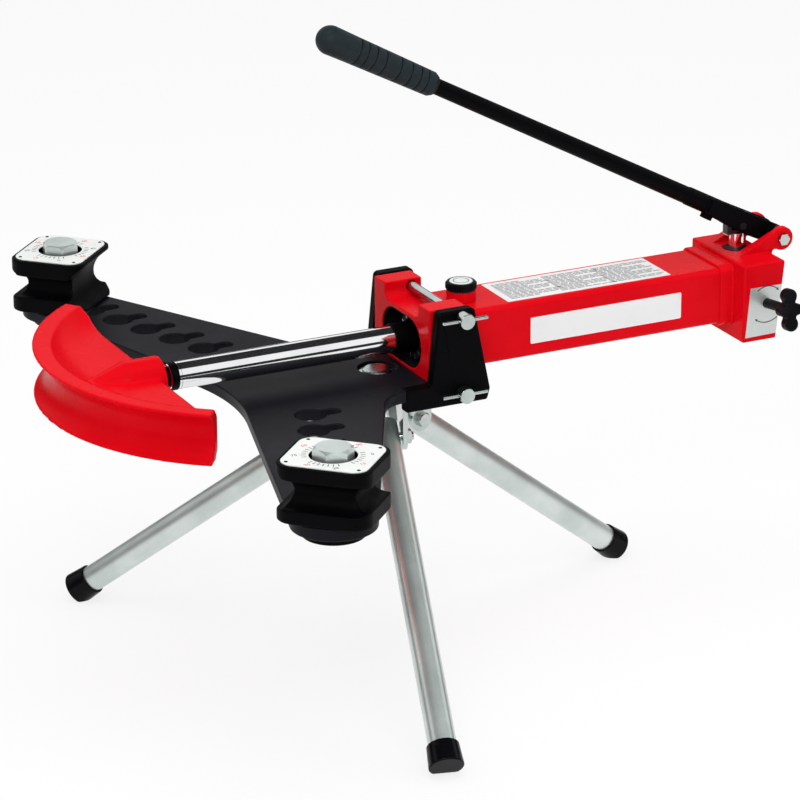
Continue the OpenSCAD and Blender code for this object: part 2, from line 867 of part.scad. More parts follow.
module corner_block(side) {
  color(black) at_corner(side) difference() {
    linear_extrude(block_h) rounded_rect(block_w, block_l, block_r);
    for (i = [0:3]) rotate(90 * i)
      block_groove((i % 2 == 0 ? block_w : block_l) / 2, groove_pipes[i], block_l);
    translate([0, 0, -over]) cylinder(r = pin_hole_r, h = block_h + 2 * over);
    translate([0, 0, block_h - recess_depth]) cylinder(d = recess_d, h = recess_depth + over);
  }
}

module scale_plate(side) {
  color(white) at_corner(side) translate([0, 0, block_h]) linear_extrude(scale_t) difference() {
    rounded_rect(block_w - 2 * scale_margin, block_l - 2 * scale_margin, block_r - scale_margin);
    circle(d = scale_hole_d);
  }
}

module corner_pin(side) {
  length = block_h - recess_depth + slip + plate_t + collar_h + pin_tail;
  color(zinc) at_corner(side) translate([0, 0, block_h - recess_depth + slip]) {
    hex_head(pin_head_flats, pin_head_h);
    translate([0, 0, pin_chamfer - length]) cylinder(d = pin_d, h = length - pin_chamfer);
    translate([0, 0, -length])
      cylinder(d1 = pin_d - 2 * pin_chamfer, d2 = pin_d, h = pin_chamfer);
  }
}

module corner_former_near() { corner_block(-1); }

module corner_former_far() { corner_block(1); }

module scale_plate_near() { scale_plate(-1); }

module scale_plate_far() { scale_plate(1); }

module corner_pin_near() { corner_pin(-1); }

module corner_pin_far() { corner_pin(1); }

// Lever, with +Z along it and +X upwards across it

module at_lever() {
  translate([pivot.x, 0, pivot.y]) rotate([0, lever_angle - 90, 0]) children();
}

module yoke_plate() {
  polygon([
    [yoke_r, 0], [lever_d / 2 + yoke_lip, yoke_l], [-lever_d / 2 - yoke_lip, yoke_l],
    [-yoke_below, yoke_socket_start - yoke_step], [-yoke_below, yoke_socket_start / 2], [-yoke_r, 0]
  ]);
  circle(yoke_r);
}

module lever_yoke() {
  color(black) at_lever() difference() {
    union() {
      for (y = [yoke_gap, -yoke_gap - yoke_t])
        translate([0, y + yoke_t, 0]) rotate([90, 0, 0]) linear_extrude(yoke_t) yoke_plate();
      for (y = [yoke_gap, -lug_inner + slip])
        translate([0, y + lug_inner - slip - yoke_gap, 0]) rotate([90, 0, 0])
          cylinder(r = yoke_r, h = lug_inner - slip - yoke_gap);
      translate([0, 0, yoke_socket_start])
        cylinder(d = socket_d, h = yoke_socket_end - yoke_socket_start);
    }
    translate([0, lug_outer, 0]) rotate([90, 0, 0])
      cylinder(d = pivot_d + 2 * ease, h = 2 * lug_outer);
    translate([-link_offset, lug_outer, link_along]) rotate([90, 0, 0])
      cylinder(d = link_d + 2 * seat, h = 2 * lug_outer);
    translate([0, 0, yoke_socket_start + socket_floor])
      cylinder(d = lever_d + 2 * seat, h = yoke_socket_end);
  }
}

module lever_tube() {
  start = yoke_socket_start + socket_floor;
  color(black) at_lever() translate([0, 0, start]) difference() {
    cylinder(d = lever_d, h = lever_l - grip_d / 2 - start);
    translate([0, 0, -over]) cylinder(d = lever_d - 2 * tube_wall, h = lever_l);
  }
}

// The grip's radius along its length, from the mouth to the start of its dome.
function grip_r(share) = (grip_mouth_d + (grip_d - grip_mouth_d) * share) / 2;

module lever_grip() {
  body = grip_l - grip_d / 2;
  groove = grip_groove_w / 2;
  ring_points = [
    for (s = grip_groove_shares)
      let (z = s * grip_l, r = grip_r(s))
        each [[r, z - groove], [r - grip_groove_depth, z], [r, z + groove]]
  ];
  color(rubber) at_lever() translate([0, 0, grip_start]) difference() {
    union() {
      rotate_extrude() polygon(concat(
        [[0, 0], [grip_mouth_d / 2 - grip_mouth_step / 2, 0], [grip_mouth_d / 2, grip_mouth_step]],
        ring_points, [[grip_d / 2, body], [0, body]]
      ));
      translate([0, 0, body]) intersection() {
        sphere(d = grip_d);
        cylinder(d = grip_d + over, h = grip_d);
      }
    }
    translate([0, 0, -over]) cylinder(d = lever_d + 2 * seat, h = body + over);
  }
}

module clamp_bolt() {
  color(zinc) at_lever() translate([-socket_d / 2 - seat, 0, clamp_at]) rotate([0, -90, 0])
    hex_head(clamp_flats, clamp_head_h);
}

module link_pin() {
  half = yoke_gap + yoke_t;
  color(steel) at_lever() translate([-link_offset, half, link_along]) rotate([90, 0, 0])
    cylinder(d = link_d, h = 2 * half);
}

// The plunger's flat head has a slot that takes the sideways swing of the link pin.
module plunger_head() {
  r = link_d / 2 + slip;
  top = link_z + plunger_head_h / 2;
  bottom = link_z - plunger_head_h / 2 - link_slack_below;
  difference() {
    translate([plunger_x - plunger_head_w / 2, bottom])
      square([plunger_head_w, top - bottom]);
    translate([plunger_x - link_travel - slip, link_z - r - link_slack_below])
      square([2 * link_travel + 2 * slip + over, 2 * r + link_slack_below]);
  }
}

module pump_plunger() {
  color(chrome) {
    translate([plunger_x, 0, pump_top - plunger_depth])
      cylinder(d = plunger_d, h = link_z - plunger_head_h / 2 - pump_top + plunger_depth);
    upright(-plunger_head_t / 2, plunger_head_t / 2) plunger_head();
  }
}

// Release valve

module at_valve() {
  translate(valve) rotate([90 - valve_tilt, 0, 0]) children();
}

module release_spindle() {
  color(black) at_valve() translate([0, 0, -spindle_in])
    cylinder(d = spindle_d, h = spindle_in + spindle_out);
}

module release_knob() {
  reach = (knob_d - knob_wing_d) / 2;
  color(black) at_valve() translate([0, 0, spindle_out - knob_t / 2]) difference() {
    linear_extrude(knob_t) {
      circle(d = knob_hub_d);
      square([knob_arm_w, 2 * reach], center = true);
      for (side = [-1, 1]) {
        translate([0, side * reach]) circle(d = knob_wing_d);
        translate([side * knob_side_reach, 0]) circle(d = knob_side_d);
      }
    }
    translate([0, 0, -over]) cylinder(d = spindle_d + 2 * seat, h = knob_t / 2 + over);
  }
}

// Filler cap

module filler_cap() {
  side = cap_h * cap_side_share;
  color(black) translate([filler_reach, 0, reservoir_top + filler_neck_h + cap_seal_t]) union() {
    cylinder(d = cap_d, h = side);
    translate([0, 0, side]) cylinder(d1 = cap_d, d2 = cap_d - 2 * (cap_h - side), h = cap_h - side);
    translate([0, 0, -cap_plug_l - cap_seal_t])
      cylinder(d = filler_hole_d - 2 * slip, h = cap_plug_l + cap_seal_t);
  }
}

module cap_seal() {
  color(rubber) translate([filler_reach, 0, reservoir_top + filler_neck_h]) difference() {
    cylinder(d = filler_neck_d, h = cap_seal_t);
    translate([0, 0, -over]) cylinder(d = filler_hole_d, h = cap_seal_t + 2 * over);
  }
}

// Locking pins with a crossbar through their heads

module lock_pin(z) {
  head_y = -cheek_outer - lock_gap;
  color(chrome) difference() {
    union() {
      cross_bar(lock_reach, z, lock_d, head_y - over, cheek_outer + lock_tip_l);
      cross_bar(lock_reach, z, lock_head_d, head_y - lock_head_l, head_y);
    }
    translate([lock_reach - lock_bar_l, head_y - lock_head_l / 2, z]) rotate([0, 90, 0])
      cylinder(d = lock_bar_d + 2 * seat, h = 2 * lock_bar_l);
  }
}

module lock_bar(z) {
  color(chrome)
    translate([lock_reach - lock_bar_l / 2, -cheek_outer - lock_gap - lock_head_l / 2, z])
      rotate([0, 90, 0]) cylinder(d = lock_bar_d, h = lock_bar_l);
}

module lock_pin_upper() { lock_pin(upper_lock_z); }

module lock_bar_upper() { lock_bar(upper_lock_z); }

module lock_pin_lower() { lock_pin(lower_lock_z); }

module lock_bar_lower() { lock_bar(lower_lock_z); }

// Tripod: a hub below the plate with three pairs of lugs, and legs that fold on bolts

module at_leg_turn(turn) {
  rotate(turn) translate([leg_hinge_reach, 0, hinge_z]) children();
}

module at_leg(turn) {
  at_leg_turn(turn) rotate([0, 90 + leg_slope, 0]) children();
}

module hub_lug_profile() {
  disc_z = plate_bottom - hub_t;
  polygon([
    [hub_lug_start, disc_z + over], [leg_hinge_reach + hub_lug_r, disc_z + over],
    [leg_hinge_reach + hub_lug_r, hinge_z], [leg_hinge_reach, hinge_z],
    [leg_hinge_reach, hinge_z - hub_lug_r], [hub_lug_start, disc_z - hub_lug_r]
  ]);
  translate([leg_hinge_reach, hinge_z]) circle(hub_lug_r);
}

module tripod_hub() {
  color(zinc) difference() {
    union() {
      translate([0, 0, plate_bottom - hub_t]) cylinder(d = hub_d, h = hub_t);
      translate([0, 0, plate_bottom - over]) cylinder(d = hub_hole_d - 2 * slip, h = hub_spigot_h + over);
      for (turn = leg_turns, y = [lug_gap, -lug_gap - hub_t])
        rotate(turn) upright(y, y + hub_t) hub_lug_profile();
    }
    translate([0, 0, plate_bottom - hub_t - over])
      cylinder(d = hub_bolt_d + 2 * ease, h = hub_t + plate_t + over);
    for (turn = leg_turns) rotate(turn)
      cross_bar(leg_hinge_reach, hinge_z, leg_bolt_d + 2 * ease, -lug_span, lug_span);
    translate([head_front - slip, -head_w / 2, plate_top - head_drop - slip])
      cube([hub_d, head_w, head_drop]);
  }
}

module hub_bolt() {
  head_z = plate_bottom + hub_spigot_h;
  side = hub_bolt_head_h * hub_bolt_side_share;
  color(zinc) {
    translate([0, 0, head_z]) cylinder(d = hub_bolt_head_d, h = side);
    translate([0, 0, head_z + side])
      cylinder(d1 = hub_bolt_head_d, d2 = hub_bolt_face_d, h = hub_bolt_head_h - side);
    translate([0, 0, plate_bottom - hub_t - hub_bolt_tail])
      cylinder(d = hub_bolt_d, h = hub_bolt_tail + hub_t + hub_spigot_h);
  }
}

module hub_nut() {
  color(zinc) translate([0, 0, plate_bottom - hub_t - hub_nut_h]) difference() {
    hex_prism(hub_nut_flats, hub_nut_h);
    translate([0, 0, -over]) cylinder(d = hub_bolt_d + 2 * seat, h = hub_nut_h + 2 * over);
  }
}

module leg_bolts() {
  color(zinc) for (turn = leg_turns) rotate(turn) {
    cross_bar(leg_hinge_reach, hinge_z, leg_bolt_d, -lug_span / 2, lug_span / 2 + leg_bolt_out);
    translate([leg_hinge_reach, -lug_span / 2, hinge_z]) rotate([90, 0, 0])
      hex_head(leg_bolt_flats, leg_bolt_head_h);
  }
}

module leg_nuts() {
  color(zinc) for (turn = leg_turns) rotate(turn)
    translate([leg_hinge_reach, lug_span / 2, hinge_z]) rotate([-90, 0, 0]) difference() {
      hex_head(leg_bolt_flats, leg_bolt_head_h);
      translate([0, 0, -over])
        cylinder(d = leg_bolt_d + 2 * seat, h = leg_bolt_head_h + 2 * over);
    }
}

module leg(turn) {
  color(zinc) difference() {
    at_leg(turn) difference() {
      translate([0, 0, -leg_tail]) cylinder(d = leg_d, h = leg_end + leg_tail);
      translate([0, 0, leg_bolt_d]) cylinder(d = leg_d - 2 * leg_wall, h = leg_end);
    }
    rotate(turn) cross_bar(leg_hinge_reach, hinge_z, leg_bolt_d + 2 * ease, -leg_d, leg_d);
  }
}

module foot(turn) {
  reach = foot_reach + leg_d;
  foot_d = leg_d + 2 * foot_wall;
  start = leg_end - foot_cover;
  color(rubber) intersection() {
    at_leg(turn) difference() {
      translate([0, 0, start])
        cylinder(d1 = foot_d, d2 = foot_d + 2 * foot_flare, h = foot_end - start);
      translate([0, 0, start - over]) cylinder(d = leg_d + 2 * seat, h = foot_cover + over);
    }
    translate([-2 * reach, -2 * reach, 0]) cube([4 * reach, 4 * reach, plate_top]);
  }
}

module leg_front() { leg(leg_turns[0]); }

module foot_front() { foot(leg_turns[0]); }

module leg_rear() { leg(leg_turns[1]); }

module foot_rear() { foot(leg_turns[1]); }

module leg_far() { leg(leg_turns[2]); }

module foot_far() { foot(leg_turns[2]); }

// Sets a piece so that the origin is below the middle of the part's length.
module placed() {
  translate([-mid_x, 0, 0]) children();
}

placed() wing_plate();
placed() cheek_near();
placed() cheek_far();
placed() pin_collars();
placed() ram_head();
placed() reservoir();
placed() filler_neck();
placed() cylinder_tube();
placed() cylinder_nut();
placed() gland_bush();
placed() rod_wiper();
placed() pump_block();
placed() plunger_bush();
placed() check_balls();
placed() check_springs();
placed() check_plugs();
placed() pivot_bolt();
placed() pivot_nut();
placed() spring_anchor();
placed() return_spring();
placed() hub_bolt();
placed() hub_nut();
placed() tripod_hub();
placed() leg_bolts();
placed() leg_nuts();
placed() leg_front();
placed() foot_front();
placed() leg_rear();
placed() foot_rear();
placed() leg_far();
placed() foot_far();
placed() ram_rod();
placed() ram_nose();
placed() piston();
placed() piston_seal();
placed() bending_former();
placed() corner_former_near();
placed() scale_plate_near();
placed() corner_pin_near();
placed() corner_former_far();
placed() scale_plate_far();
placed() corner_pin_far();
placed() lever_yoke();
placed() lever_tube();
placed() lever_grip();
placed() clamp_bolt();
placed() link_pin();
placed() pump_plunger();
placed() release_spindle();
placed() release_knob();
placed() filler_cap();
placed() cap_seal();
placed() lock_pin_upper();
placed() lock_bar_upper();
placed() lock_pin_lower();
placed() lock_bar_lower();
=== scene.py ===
"""Looks of the hydraulic pipe bender: paint, plating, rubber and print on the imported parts,
rounded copies of the cast and cut pieces, and the small details that the solids leave out.
Lengths are in metres unless a name ends in mm."""

import json
import math

import bmesh
import bpy
from mathutils import Matrix, Vector


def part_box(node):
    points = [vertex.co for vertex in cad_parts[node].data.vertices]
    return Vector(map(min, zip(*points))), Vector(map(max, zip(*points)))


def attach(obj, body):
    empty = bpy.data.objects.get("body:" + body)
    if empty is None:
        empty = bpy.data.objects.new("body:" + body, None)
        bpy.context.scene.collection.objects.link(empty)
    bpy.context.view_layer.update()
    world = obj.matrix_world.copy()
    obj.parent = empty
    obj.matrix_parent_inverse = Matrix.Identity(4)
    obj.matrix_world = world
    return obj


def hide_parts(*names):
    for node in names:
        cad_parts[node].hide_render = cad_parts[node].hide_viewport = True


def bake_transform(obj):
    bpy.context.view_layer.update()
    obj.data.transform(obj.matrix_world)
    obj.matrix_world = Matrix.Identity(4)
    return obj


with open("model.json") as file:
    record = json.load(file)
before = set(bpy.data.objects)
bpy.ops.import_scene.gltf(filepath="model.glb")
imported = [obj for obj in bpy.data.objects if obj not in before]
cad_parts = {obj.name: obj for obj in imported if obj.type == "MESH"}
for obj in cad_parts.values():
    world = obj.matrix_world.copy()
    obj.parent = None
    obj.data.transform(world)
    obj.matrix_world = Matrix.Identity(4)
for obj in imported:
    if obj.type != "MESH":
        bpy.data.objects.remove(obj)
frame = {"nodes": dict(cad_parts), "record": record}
NODES = frame["nodes"]
BODY_OF = {n: b for b, ns in frame["record"]["behaviour"]["bodies"].items() for n in ns}
SLOT_OF = {s["node"]: s["material_slot"] for s in frame["record"]["subparts"]}
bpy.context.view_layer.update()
MM = 0.001
scene = bpy.context.scene


def middle_of(node):
    """The middle of a CAD node's box at rest."""
    low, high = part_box(node)
    return (low + high) / 2


HUB_X = middle_of("hub_bolt").x


# Shader maths and materials


class Wire:
    """A shader socket that takes part in sums like a number."""

    def __init__(self, tree, socket):
        self.tree = tree
        self.socket = socket

    def _sum(self, operation, first, second):
        node = self.tree.nodes.new("ShaderNodeMath")
        node.operation = operation
        for entry, value in zip(node.inputs, (first, second)):
            connect(self.tree, entry, value)
        return Wire(self.tree, node.outputs[0])

    def __add__(self, other):
        return self._sum("ADD", self, other)

    def __radd__(self, other):
        return self._sum("ADD", other, self)

    def __sub__(self, other):
        return self._sum("SUBTRACT", self, other)

    def __rsub__(self, other):
        return self._sum("SUBTRACT", other, self)

    def __mul__(self, other):
        return self._sum("MULTIPLY", self, other)


def connect(tree, entry, value):
    """Links a wire to a socket, or writes a plain value into it."""
    if isinstance(value, Wire):
        tree.links.new(value.socket, entry)
    else:
        entry.default_value = value


class Nodes:
    """A node tree and ways to add nodes to it."""

    def __init__(self, tree):
        self.tree = tree

    def make(self, kind, output=0, settings=None, **values):
        """Any node: its settings come first, then the values or wires of its sockets, by name or as _number."""
        node = self.tree.nodes.new(kind)
        for key, value in (settings or {}).items():
            setattr(node, key, value)
        for key, value in values.items():
            connect(self.tree, node.inputs[int(key[1:]) if key[1:].isdigit() else key], value)
        return Wire(self.tree, node.outputs[output])

    def between(self, value, low, high, start=0.0, end=1.0):
        """Maps a value from low..high to start..end, held at both ends."""
        return self.make("ShaderNodeMapRange", settings={"interpolation_type": "SMOOTHSTEP"}, Value=value,
                         _1=low, _2=high, _3=start, _4=end)


class Finish(Nodes):
    """A material with one Principled shader and the nodes that feed it."""

    def __init__(self, name, **constants):
        self.material = bpy.data.materials.new(name)
        self.material.use_nodes = True
        super().__init__(self.material.node_tree)
        self.shader = self.tree.nodes["Principled BSDF"]
        self.feed(**constants)

    def feed(self, **values):
        for key, value in values.items():
            name = key.replace("_", " ").title().replace("Ior", "IOR")
            connect(self.tree, self.shader.inputs[name], value)

    def place(self, stretch=(1, 1, 1)):
        here = self.make("ShaderNodeTexCoord", output="Object")
        return self.make("ShaderNodeMapping", Vector=here, Scale=stretch)

    def grain(self, scale, detail=3.0, roughness=0.55, stretch=(1, 1, 1)):
        return self.make("ShaderNodeTexNoise", Vector=self.place(stretch), Scale=scale, Detail=detail,
                         Roughness=roughness)

    def blend(self, share, first, second):
        settings = {"data_type": "RGBA"}
        return self.make("ShaderNodeMix", output=2, settings=settings, _0=share, _6=first, _7=second)

    def emboss(self, height, depth_mm, strength=0.5):
        bump = self.make("ShaderNodeBump", Height=height, Distance=depth_mm * MM, Strength=strength)
        self.feed(normal=bump)


def rgb(r, g, b):
    return (r, g, b, 1.0)


def red_gloss_paint(name, gloss):
    """Thick red enamel: a slight shade change, faint orange peel, and dust in the matt patches."""
    f = Finish(name, coat_weight=0.01, coat_roughness=0.08, specular_ior_level=gloss)
    cloud = f.grain(9, detail=4)
    dust = f.between(f.grain(60, detail=6, roughness=0.7), 0.60, 0.78)
    shade = f.blend(f.between(cloud, 0.35, 0.65), rgb(0.70, 0.0015, 0.007), rgb(0.75, 0.003, 0.010))
    f.feed(base_color=f.blend(dust * 0.12, shade, rgb(0.55, 0.02, 0.02)))
    f.feed(roughness=0.24 + dust * 0.18 + cloud * 0.06)
    f.emboss(f.grain(420, detail=2), 0.12, 0.35)
    return f.material


def black_satin_paint():
    """Black powder coat with a fine grain and small grey rubs."""
    f = Finish("black satin paint", specular_ior_level=0.08)
    rub = f.between(f.grain(38, detail=7, roughness=0.72), 0.64, 0.76)
    cloud = f.grain(14, detail=3)
    f.feed(base_color=f.blend(rub * 0.5, rgb(0.008, 0.008, 0.011), rgb(0.032, 0.032, 0.037)))
    f.feed(roughness=0.36 + cloud * 0.16 - rub * 0.08)
    f.emboss(f.grain(900, detail=2) + f.grain(260, detail=2) * 0.5, 0.16, 0.5)
    return f.material


def cast_black_paint():
    """Black paint on a sand casting: broad unevenness under a coarse grain."""
    f = Finish("cast black paint", specular_ior_level=0.05)
    rub = f.between(f.grain(30, detail=7, roughness=0.7), 0.62, 0.78)
    f.feed(base_color=f.blend(rub * 0.6, rgb(0.0012, 0.0012, 0.0018), rgb(0.018, 0.018, 0.020)))
    f.feed(roughness=0.42 + f.grain(45) * 0.18)
    f.emboss(f.grain(520, detail=4, roughness=0.65), 0.35, 0.6)
    return f.material


def polished_chrome():
    """Hard chrome with fine rings from grinding and a thin film of oil."""
    f = Finish("polished chrome", metallic=1.0)
    film = f.grain(16, detail=4)
    ground = f.grain(260, detail=2, stretch=(9, 1, 1))
    f.feed(base_color=f.blend(f.between(film, 0.3, 0.7), rgb(0.88, 0.89, 0.90), rgb(0.80, 0.81, 0.83)))
    f.feed(roughness=0.045 + film * 0.03 + ground * 0.02)
    f.emboss(ground, 0.02, 0.15)
    return f.material


def bright_zinc():
    """Bright zinc plate: cool and pale with a cloudy, slightly blue cast."""
    f = Finish("bright zinc", metallic=1.0)
    cloud = f.grain(22, detail=5, roughness=0.6)
    f.feed(base_color=f.blend(f.between(cloud, 0.3, 0.7), rgb(0.60, 0.655, 0.635), rgb(0.46, 0.51, 0.495)))
    f.feed(roughness=0.15 + f.between(cloud, 0.3, 0.75) * 0.14)
    f.emboss(f.grain(500, detail=3), 0.04, 0.25)
    return f.material


def galvanised_tube():
    """Zinc on drawn tube: pale and soft, with faint streaks along the length."""
    f = Finish("galvanised tube", metallic=0.7)
    cloud = f.grain(18, detail=5, roughness=0.6)
    streak = f.grain(90, detail=3, stretch=(1, 1, 0.15))
    f.feed(base_color=f.blend(f.between(cloud, 0.3, 0.7), rgb(0.72, 0.79, 0.765), rgb(0.58, 0.65, 0.625)))
    f.feed(roughness=0.28 + streak * 0.10)
    f.emboss(streak, 0.04, 0.2)
    return f.material


def plunger_chrome(paint_from):
    """Chrome on the plunger's shank, black paint on its head above this height."""
    f = Finish("plunger chrome")
    height = f.make("ShaderNodeSeparateXYZ", output=2, Vector=f.place())
    painted = f.between(height, paint_from - 0.3 * MM, paint_from + 0.3 * MM)
    film = f.grain(20, detail=4)
    f.feed(base_color=f.blend(painted, rgb(0.84, 0.85, 0.87), rgb(0.006, 0.006, 0.008)))
    f.feed(metallic=1 - painted, roughness=0.05 + film * 0.04 + painted * 0.35)
    f.emboss(f.grain(300, detail=2), 0.03, 0.2)
    return f.material


def machined_steel():
    """Turned steel with tool rings and darker oil in them."""
    f = Finish("machined steel", metallic=1.0)
    ring = f.grain(180, detail=3, stretch=(6, 1, 1))
    oil = f.between(f.grain(35, detail=5), 0.45, 0.7)
    f.feed(base_color=f.blend(oil, rgb(0.52, 0.53, 0.55), rgb(0.27, 0.27, 0.28)))
    f.feed(roughness=0.26 + ring * 0.16)
    f.emboss(ring, 0.05, 0.3)
    return f.material


def black_rubber():
    """Matt black rubber with a fine moulded grain and pale dust, and painted shade, near black, where a groove is
    marked.
    """
    f = Finish("black rubber", specular_ior_level=0.2)
    dust = f.between(f.grain(48, detail=6, roughness=0.7), 0.5, 0.8)
    # Painted shade: the marked grooves are darkened nearly to black.
    groove_shade = f.between(f.make("ShaderNodeAttribute", output="Fac", settings={"attribute_name": "groove"}), 0.1, 0.6)
    clean = f.blend(dust * 0.6, rgb(0.012, 0.020, 0.024), rgb(0.040, 0.055, 0.061))
    f.feed(base_color=f.blend(groove_shade, clean, rgb(0.001, 0.001, 0.001)))
    f.feed(roughness=0.55 + dust * 0.2)
    f.emboss(f.grain(1100, detail=2), 0.14, 0.5)
    return f.material


def foot_rubber():
    """Moulded black rubber with a soft shine and scuffs from the floor."""
    f = Finish("foot rubber", specular_ior_level=0.09)
    scuff = f.between(f.grain(60, detail=6, roughness=0.7), 0.55, 0.8)
    f.feed(base_color=f.blend(scuff * 0.5, rgb(0.003, 0.003, 0.004), rgb(0.02, 0.02, 0.022)))
    f.feed(roughness=0.24 + scuff * 0.3)
    f.emboss(f.grain(600, detail=2), 0.06, 0.3)
    return f.material


def black_plastic():
    """Moulded black plastic with a spark-eroded grain."""
    f = Finish("black plastic", specular_ior_level=0.10)
    cloud = f.grain(30, detail=4)
    f.feed(base_color=f.blend(f.between(cloud, 0.4, 0.75), rgb(0.002, 0.002, 0.003), rgb(0.008, 0.008, 0.010)))
    f.feed(roughness=0.34 + cloud * 0.12)
    f.emboss(f.grain(1400, detail=2), 0.08, 0.4)
    return f.material


def printed_plate():
    """White lacquered aluminium plate with faint smears."""
    f = Finish("printed plate")
    smear = f.between(f.grain(40, detail=6, roughness=0.65), 0.45, 0.8)
    f.feed(base_color=f.blend(smear * 0.5, rgb(0.80, 0.82, 0.80), rgb(0.68, 0.70, 0.69)))
    f.feed(roughness=0.32 + smear * 0.2)
    f.emboss(f.grain(700, detail=2), 0.02, 0.2)
    return f.material


def white_film():
    """White label film with a soft sheen."""
    f = Finish("white film")
    smear = f.between(f.grain(25, detail=5), 0.5, 0.8)
    f.feed(base_color=f.blend(smear * 0.4, rgb(0.86, 0.86, 0.86), rgb(0.76, 0.76, 0.76)))
    f.feed(roughness=0.28 + smear * 0.15)
    return f.material


def brushed_plate():
    """Silver valve plate with brushing along its length."""
    f = Finish("brushed plate", metallic=0.6)
    brush = f.grain(150, detail=3, stretch=(1, 1, 12))
    f.feed(base_color=f.blend(brush, rgb(0.56, 0.60, 0.58), rgb(0.74, 0.78, 0.76)))
    f.feed(roughness=0.3 + brush * 0.15)
    return f.material


def print_ink(name, colour, pale):
    """Screen-printed ink that thins a little in places."""
    f = Finish(name)
    thin = f.between(f.grain(300, detail=4), 0.5, 0.8)
    f.feed(base_color=f.blend(thin * 0.5, colour, pale))
    f.feed(roughness=0.4 + thin * 0.15)
    return f.material


RED = red_gloss_paint("red gloss paint", 0.03)
FORMER_RED = red_gloss_paint("former gloss paint", 0.018)
BLACK = black_satin_paint()
CAST = cast_black_paint()
CHROME = polished_chrome()
ZINC = bright_zinc()
TUBE_ZINC = galvanised_tube()
PLUNGER_HEAD_H = 19.5 * MM
PLUNGER = plunger_chrome(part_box("pump_plunger")[1].z - PLUNGER_HEAD_H)
STEEL = machined_steel()
RUBBER = black_rubber()
FOOT = foot_rubber()
PLASTIC = black_plastic()
PLATE = printed_plate()
FILM = white_film()
SILVER = brushed_plate()
BLACK_INK = print_ink("black ink", rgb(0.01, 0.01, 0.01), rgb(0.06, 0.06, 0.06))
RED_INK = print_ink("red ink", rgb(0.62, 0.02, 0.03), rgb(0.7, 0.2, 0.2))
GREY_INK = print_ink("grey ink", rgb(0.28, 0.29, 0.30), rgb(0.5, 0.5, 0.5))

SLOT_FINISH = {
    "black_paint": BLACK, "red_paint": RED, "chrome": CHROME, "zinc": ZINC, "steel": STEEL,
    "rubber": RUBBER, "black_plastic": PLASTIC, "white_plate": PLATE,
}
FINISH_NODES = (
    (CAST, ("corner_former_near", "corner_former_far", "cheek_near", "cheek_far", "pin_collars", "ram_nose",
            "clamp_bolt", "lever_tube", "lever_yoke")),
    (BLACK, ("link_pin", "cylinder_nut", "plunger_bush")),
    (FORMER_RED, ("bending_former",)),
    (FOOT, ("foot_front", "foot_rear", "foot_far")),
    (TUBE_ZINC, ("leg_front", "leg_rear", "leg_far", "corner_pin_near", "corner_pin_far")),
    (PLUNGER, ("pump_plunger",)),
    (ZINC, ("lock_pin_upper", "lock_bar_upper", "lock_pin_lower", "lock_bar_lower")),
)
NODE_FINISH = {node: finish for finish, nodes in FINISH_NODES for node in nodes}


def finish_of(node):
    return NODE_FINISH.get(node, SLOT_FINISH[SLOT_OF[node]])


# Mesh helpers


def shade_by_angle(mesh, degrees=32):
    for face in mesh.polygons:
        face.use_smooth = True
    mesh.set_sharp_from_angle(angle=math.radians(degrees))


def new_piece(name, mesh, material, body):
    """Puts a finished mesh into the scene as a piece that rides on a body."""
    mesh.materials.clear()
    mesh.materials.append(material)
    piece = bpy.data.objects.new(name, mesh)
    scene.collection.objects.link(piece)
    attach(piece, body)
    return piece


def plain_mesh(carrier):
    """A carrier's shape after its modifiers, as a plain mesh. The carrier is removed."""
    mesh = bpy.data.meshes.new_from_object(carrier.evaluated_get(bpy.context.evaluated_depsgraph_get()))
    bpy.data.objects.remove(carrier)
    return mesh


def baked(name, mesh, modifiers):
    """The mesh after these modifiers, as a plain mesh."""
    carrier = bpy.data.objects.new(name, mesh)
    scene.collection.objects.link(carrier)
    for kind, settings in modifiers:
        modifier = carrier.modifiers.new(kind.lower(), kind)
        for key, value in settings.items():
            setattr(modifier, key, value)
    result = plain_mesh(carrier)
    result.name = name
    return result


def merged_copy(node):
    """A CAD node's mesh with its loose triangles joined into whole faces."""
    mesh = NODES[node].data.copy()
    custom = mesh.attributes.get("custom_normal")
    if custom:
        mesh.attributes.remove(custom)
    work = bmesh.new()
    work.from_mesh(mesh)
    bmesh.ops.remove_doubles(work, verts=work.verts, dist=2e-6)
    bmesh.ops.dissolve_limit(work, angle_limit=math.radians(0.4), verts=work.verts, edges=work.edges)
    for face in work.faces:
        face.smooth = True
    work.to_mesh(mesh)
    work.free()
    return mesh


def stand_for(node, mesh, name):
    piece = new_piece(name, mesh, finish_of(node), BODY_OF[node])
    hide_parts(node)
    return piece


def rounded_copy(node, radius_mm, steps=3, degrees=30):
    """A copy of a CAD node with its sharp edges rounded, which stands for the node."""
    bevel = {"width": radius_mm * MM, "segments": steps, "limit_method": "ANGLE", "harden_normals": True,
             "angle_limit": math.radians(degrees), "use_clamp_overlap": False, "miter_outer": "MITER_ARC"}
    even = {"keep_sharp": True, "weight": 80}
    mesh = baked(node + "_rounded", merged_copy(node), [("BEVEL", bevel), ("WEIGHTED_NORMAL", even)])
    return stand_for(node, mesh, node + "_rounded")


def cast_copy(node, cell_mm, rounds, turn=0.0, mesh=None):
    """A copy of a CAD node with the soft edges of a casting. Turn squares a node up to the cells."""
    mesh = mesh or merged_copy(node)
    middle = Matrix.Translation(middle_of(node))
    squared = middle @ Matrix.Rotation(math.radians(turn), 4, "Z") @ middle.inverted()
    mesh.transform(squared)
    cells = {"mode": "VOXEL", "voxel_size": cell_mm * MM, "use_smooth_shade": True}
    soft = {"factor": 0.5, "iterations": rounds}
    mesh = baked(node + "_cast", mesh, [("REMESH", cells), ("SMOOTH", soft)])
    mesh.transform(squared.inverted())
    return stand_for(node, mesh, node + "_cast")


